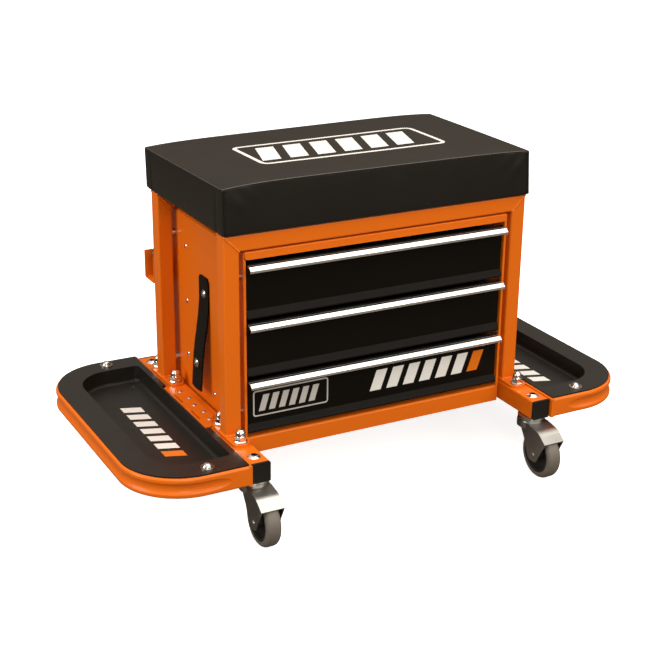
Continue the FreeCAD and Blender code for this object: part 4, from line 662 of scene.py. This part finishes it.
pan_colour, pan_edge = (0.0110, 0.0088, 0.0070), (0.030, 0.024, 0.020)
for side, name in ((-1, "left"), (1, "right")):
    pan = finish("formed_pan_" + name, pan_colour, pan_edge, 0.42, cloud=(10, 0.12), peel=(1100, 0.30, 0.05),
                 edge=(0.0012, 0.3), dust=0.02, specular=0.33,
                 prints=(tray_prints((side * 0.2635, 0.0065, 0.0838), (0, 0, -side * math.pi / 2)),))
    dress(pan, "tray_pan_" + name)

# Castors: a zinc-plated fork swivels on its stem in each base tube, and carries a grey rubber tyre on a
# black nylon hub; the axle is a zinc-plated bolt.
fork_zinc = finish("fork_zinc", (0.43, 0.42, 0.40), (0.62, 0.61, 0.59), 0.34, metallic=1.0,
                   cloud=(60, 0.12), peel=(260, 0.12, 0.16), dust=0.03)
hub_nylon = finish("hub_nylon", (0.016, 0.015, 0.0145), (0.055, 0.052, 0.050), 0.45,
                   cloud=(30, 0.1), peel=(1200, 0.18, 0.06), dust=0.05, specular=0.45)
tyre_rubber = finish("tyre_rubber", (0.150, 0.132, 0.112), (0.19, 0.17, 0.15), 0.50,
                     cloud=(30, 0.14), peel=(900, 0.20, 0.08), edge=(0.001, 0.3), dust=0.10, specular=0.35)
for end in ("front", "rear"):
    for side in ("left", "right"):
        dress(fork_zinc, "castor_fork_%s_%s" % (end, side))
        dress(bright_zinc, "castor_axle_%s_%s" % (end, side))
        dress(hub_nylon, "castor_hub_%s_%s" % (end, side))
        dress(tyre_rubber, "castor_tyre_%s_%s" % (end, side))

# Studio: the seat stands on a white floor before white, under one broad lamp overhead, one each from
# the front right and front left, and a tall one at its left. The room it mirrors is pale above, dark below.


def look_at(spot, target):
    """A placement at spot whose -Z axis points at the target."""
    way = Vector(target) - Vector(spot)
    return Matrix.Translation(Vector(spot)) @ way.to_track_quat("-Z", "Y").to_matrix().to_4x4()


def soft_lamp(name, spot, target, width, height, power):
    """A rectangular lamp, a little warm, that faces its target."""
    light = bpy.data.lights.new(name, "AREA")
    light.shape = "RECTANGLE"
    light.size, light.size_y = width, height
    light.energy = power
    light.color = (1, 0.95, 0.87)
    lamp = bpy.data.objects.new(name, light)
    lamp.matrix_world = look_at(spot, target)
    scene.collection.objects.link(lamp)


azimuth, elevation, roll = math.radians(28.31), math.radians(21.12), math.radians(0.71)
focal_pixels, picture_pixels = 1407.7, 665
forward = Vector((math.sin(azimuth) * math.cos(elevation), math.cos(azimuth) * math.cos(elevation),
                  -math.sin(elevation)))
level = Vector((math.cos(azimuth), -math.sin(azimuth), 0))
upright = level.cross(forward)
right = level * math.cos(roll) + upright * math.sin(roll)
up = upright * math.cos(roll) - level * math.sin(roll)
camera = bpy.data.objects.new("camera", bpy.data.cameras.new("camera"))
camera.data.sensor_width = 36
camera.data.lens = camera.data.sensor_width * focal_pixels / picture_pixels
camera.matrix_world = Matrix.Translation((-0.8188, -1.4873, 0.8279)) @ Matrix(
    (right, up, -forward)).transposed().to_4x4()
scene.collection.objects.link(camera)
scene.camera = camera

floor_mesh = bmesh.new()
bmesh.ops.create_grid(floor_mesh, x_segments=1, y_segments=1, size=6)
floor_data = bpy.data.meshes.new("floor")
floor_mesh.to_mesh(floor_data)
floor_mesh.free()
floor = bpy.data.objects.new("floor", floor_data)
scene.collection.objects.link(floor)
pale, tree, shader = bare("pale_floor")
seen = add(tree, "LightPath", {})["Is Camera Ray"]
feed(tree, shader, {"Base Color": lay_over(tree, seen, (0.13, 0.115, 0.10, 1), (0.88, 0.88, 0.88, 1)),
                    "Emission Strength": sums(tree, "MULTIPLY", seen, 0.78), "Emission Color": (1, 1, 1, 1),
                    "Roughness": 0.85, "Specular IOR Level": 0.1})
floor_data.materials.append(pale)

world = bpy.data.worlds.new("studio")
world.use_nodes = True
tree = world.node_tree
toward = add(tree, "SeparateXYZ", {0: add(tree, "TexCoord", {})["Generated"]})["Z"]
sky = add(tree, "ValToRGB", {"Fac": toward})["Color"]
ramp = tree.nodes[-1].color_ramp
ramp.elements[0].position, ramp.elements[0].color = 0.0, (0.09, 0.075, 0.062, 1)
ramp.elements[1].position, ramp.elements[1].color = 0.85, (0.95, 0.90, 0.83, 1)
low = ramp.elements.new(0.38)
low.color = (0.27, 0.225, 0.185, 1)
seen = add(tree, "LightPath", {})["Is Camera Ray"]
feed(tree, tree.nodes["Background"], {"Color": lay_over(tree, seen, sky, (1, 1, 1, 1)), "Strength": 1.0})
scene.world = world
scene.view_settings.view_transform = "Standard"
soft_lamp("overhead", (0.2, -0.3, 2.3), (0, 0, 0.2), width=2.6, height=2.0, power=38)
soft_lamp("front_right", (1.1, -2.1, 1.6), (0, 0, 0.25), width=2.2, height=1.5, power=32)
soft_lamp("front_left", (-0.9, -2.4, 1.1), (0, 0, 0.2), width=1.0, height=0.9, power=21)
soft_lamp("left_fill", (-2.3, 0.2, 1.1), (0, 0, 0.25), width=0.8, height=1.2, power=31)
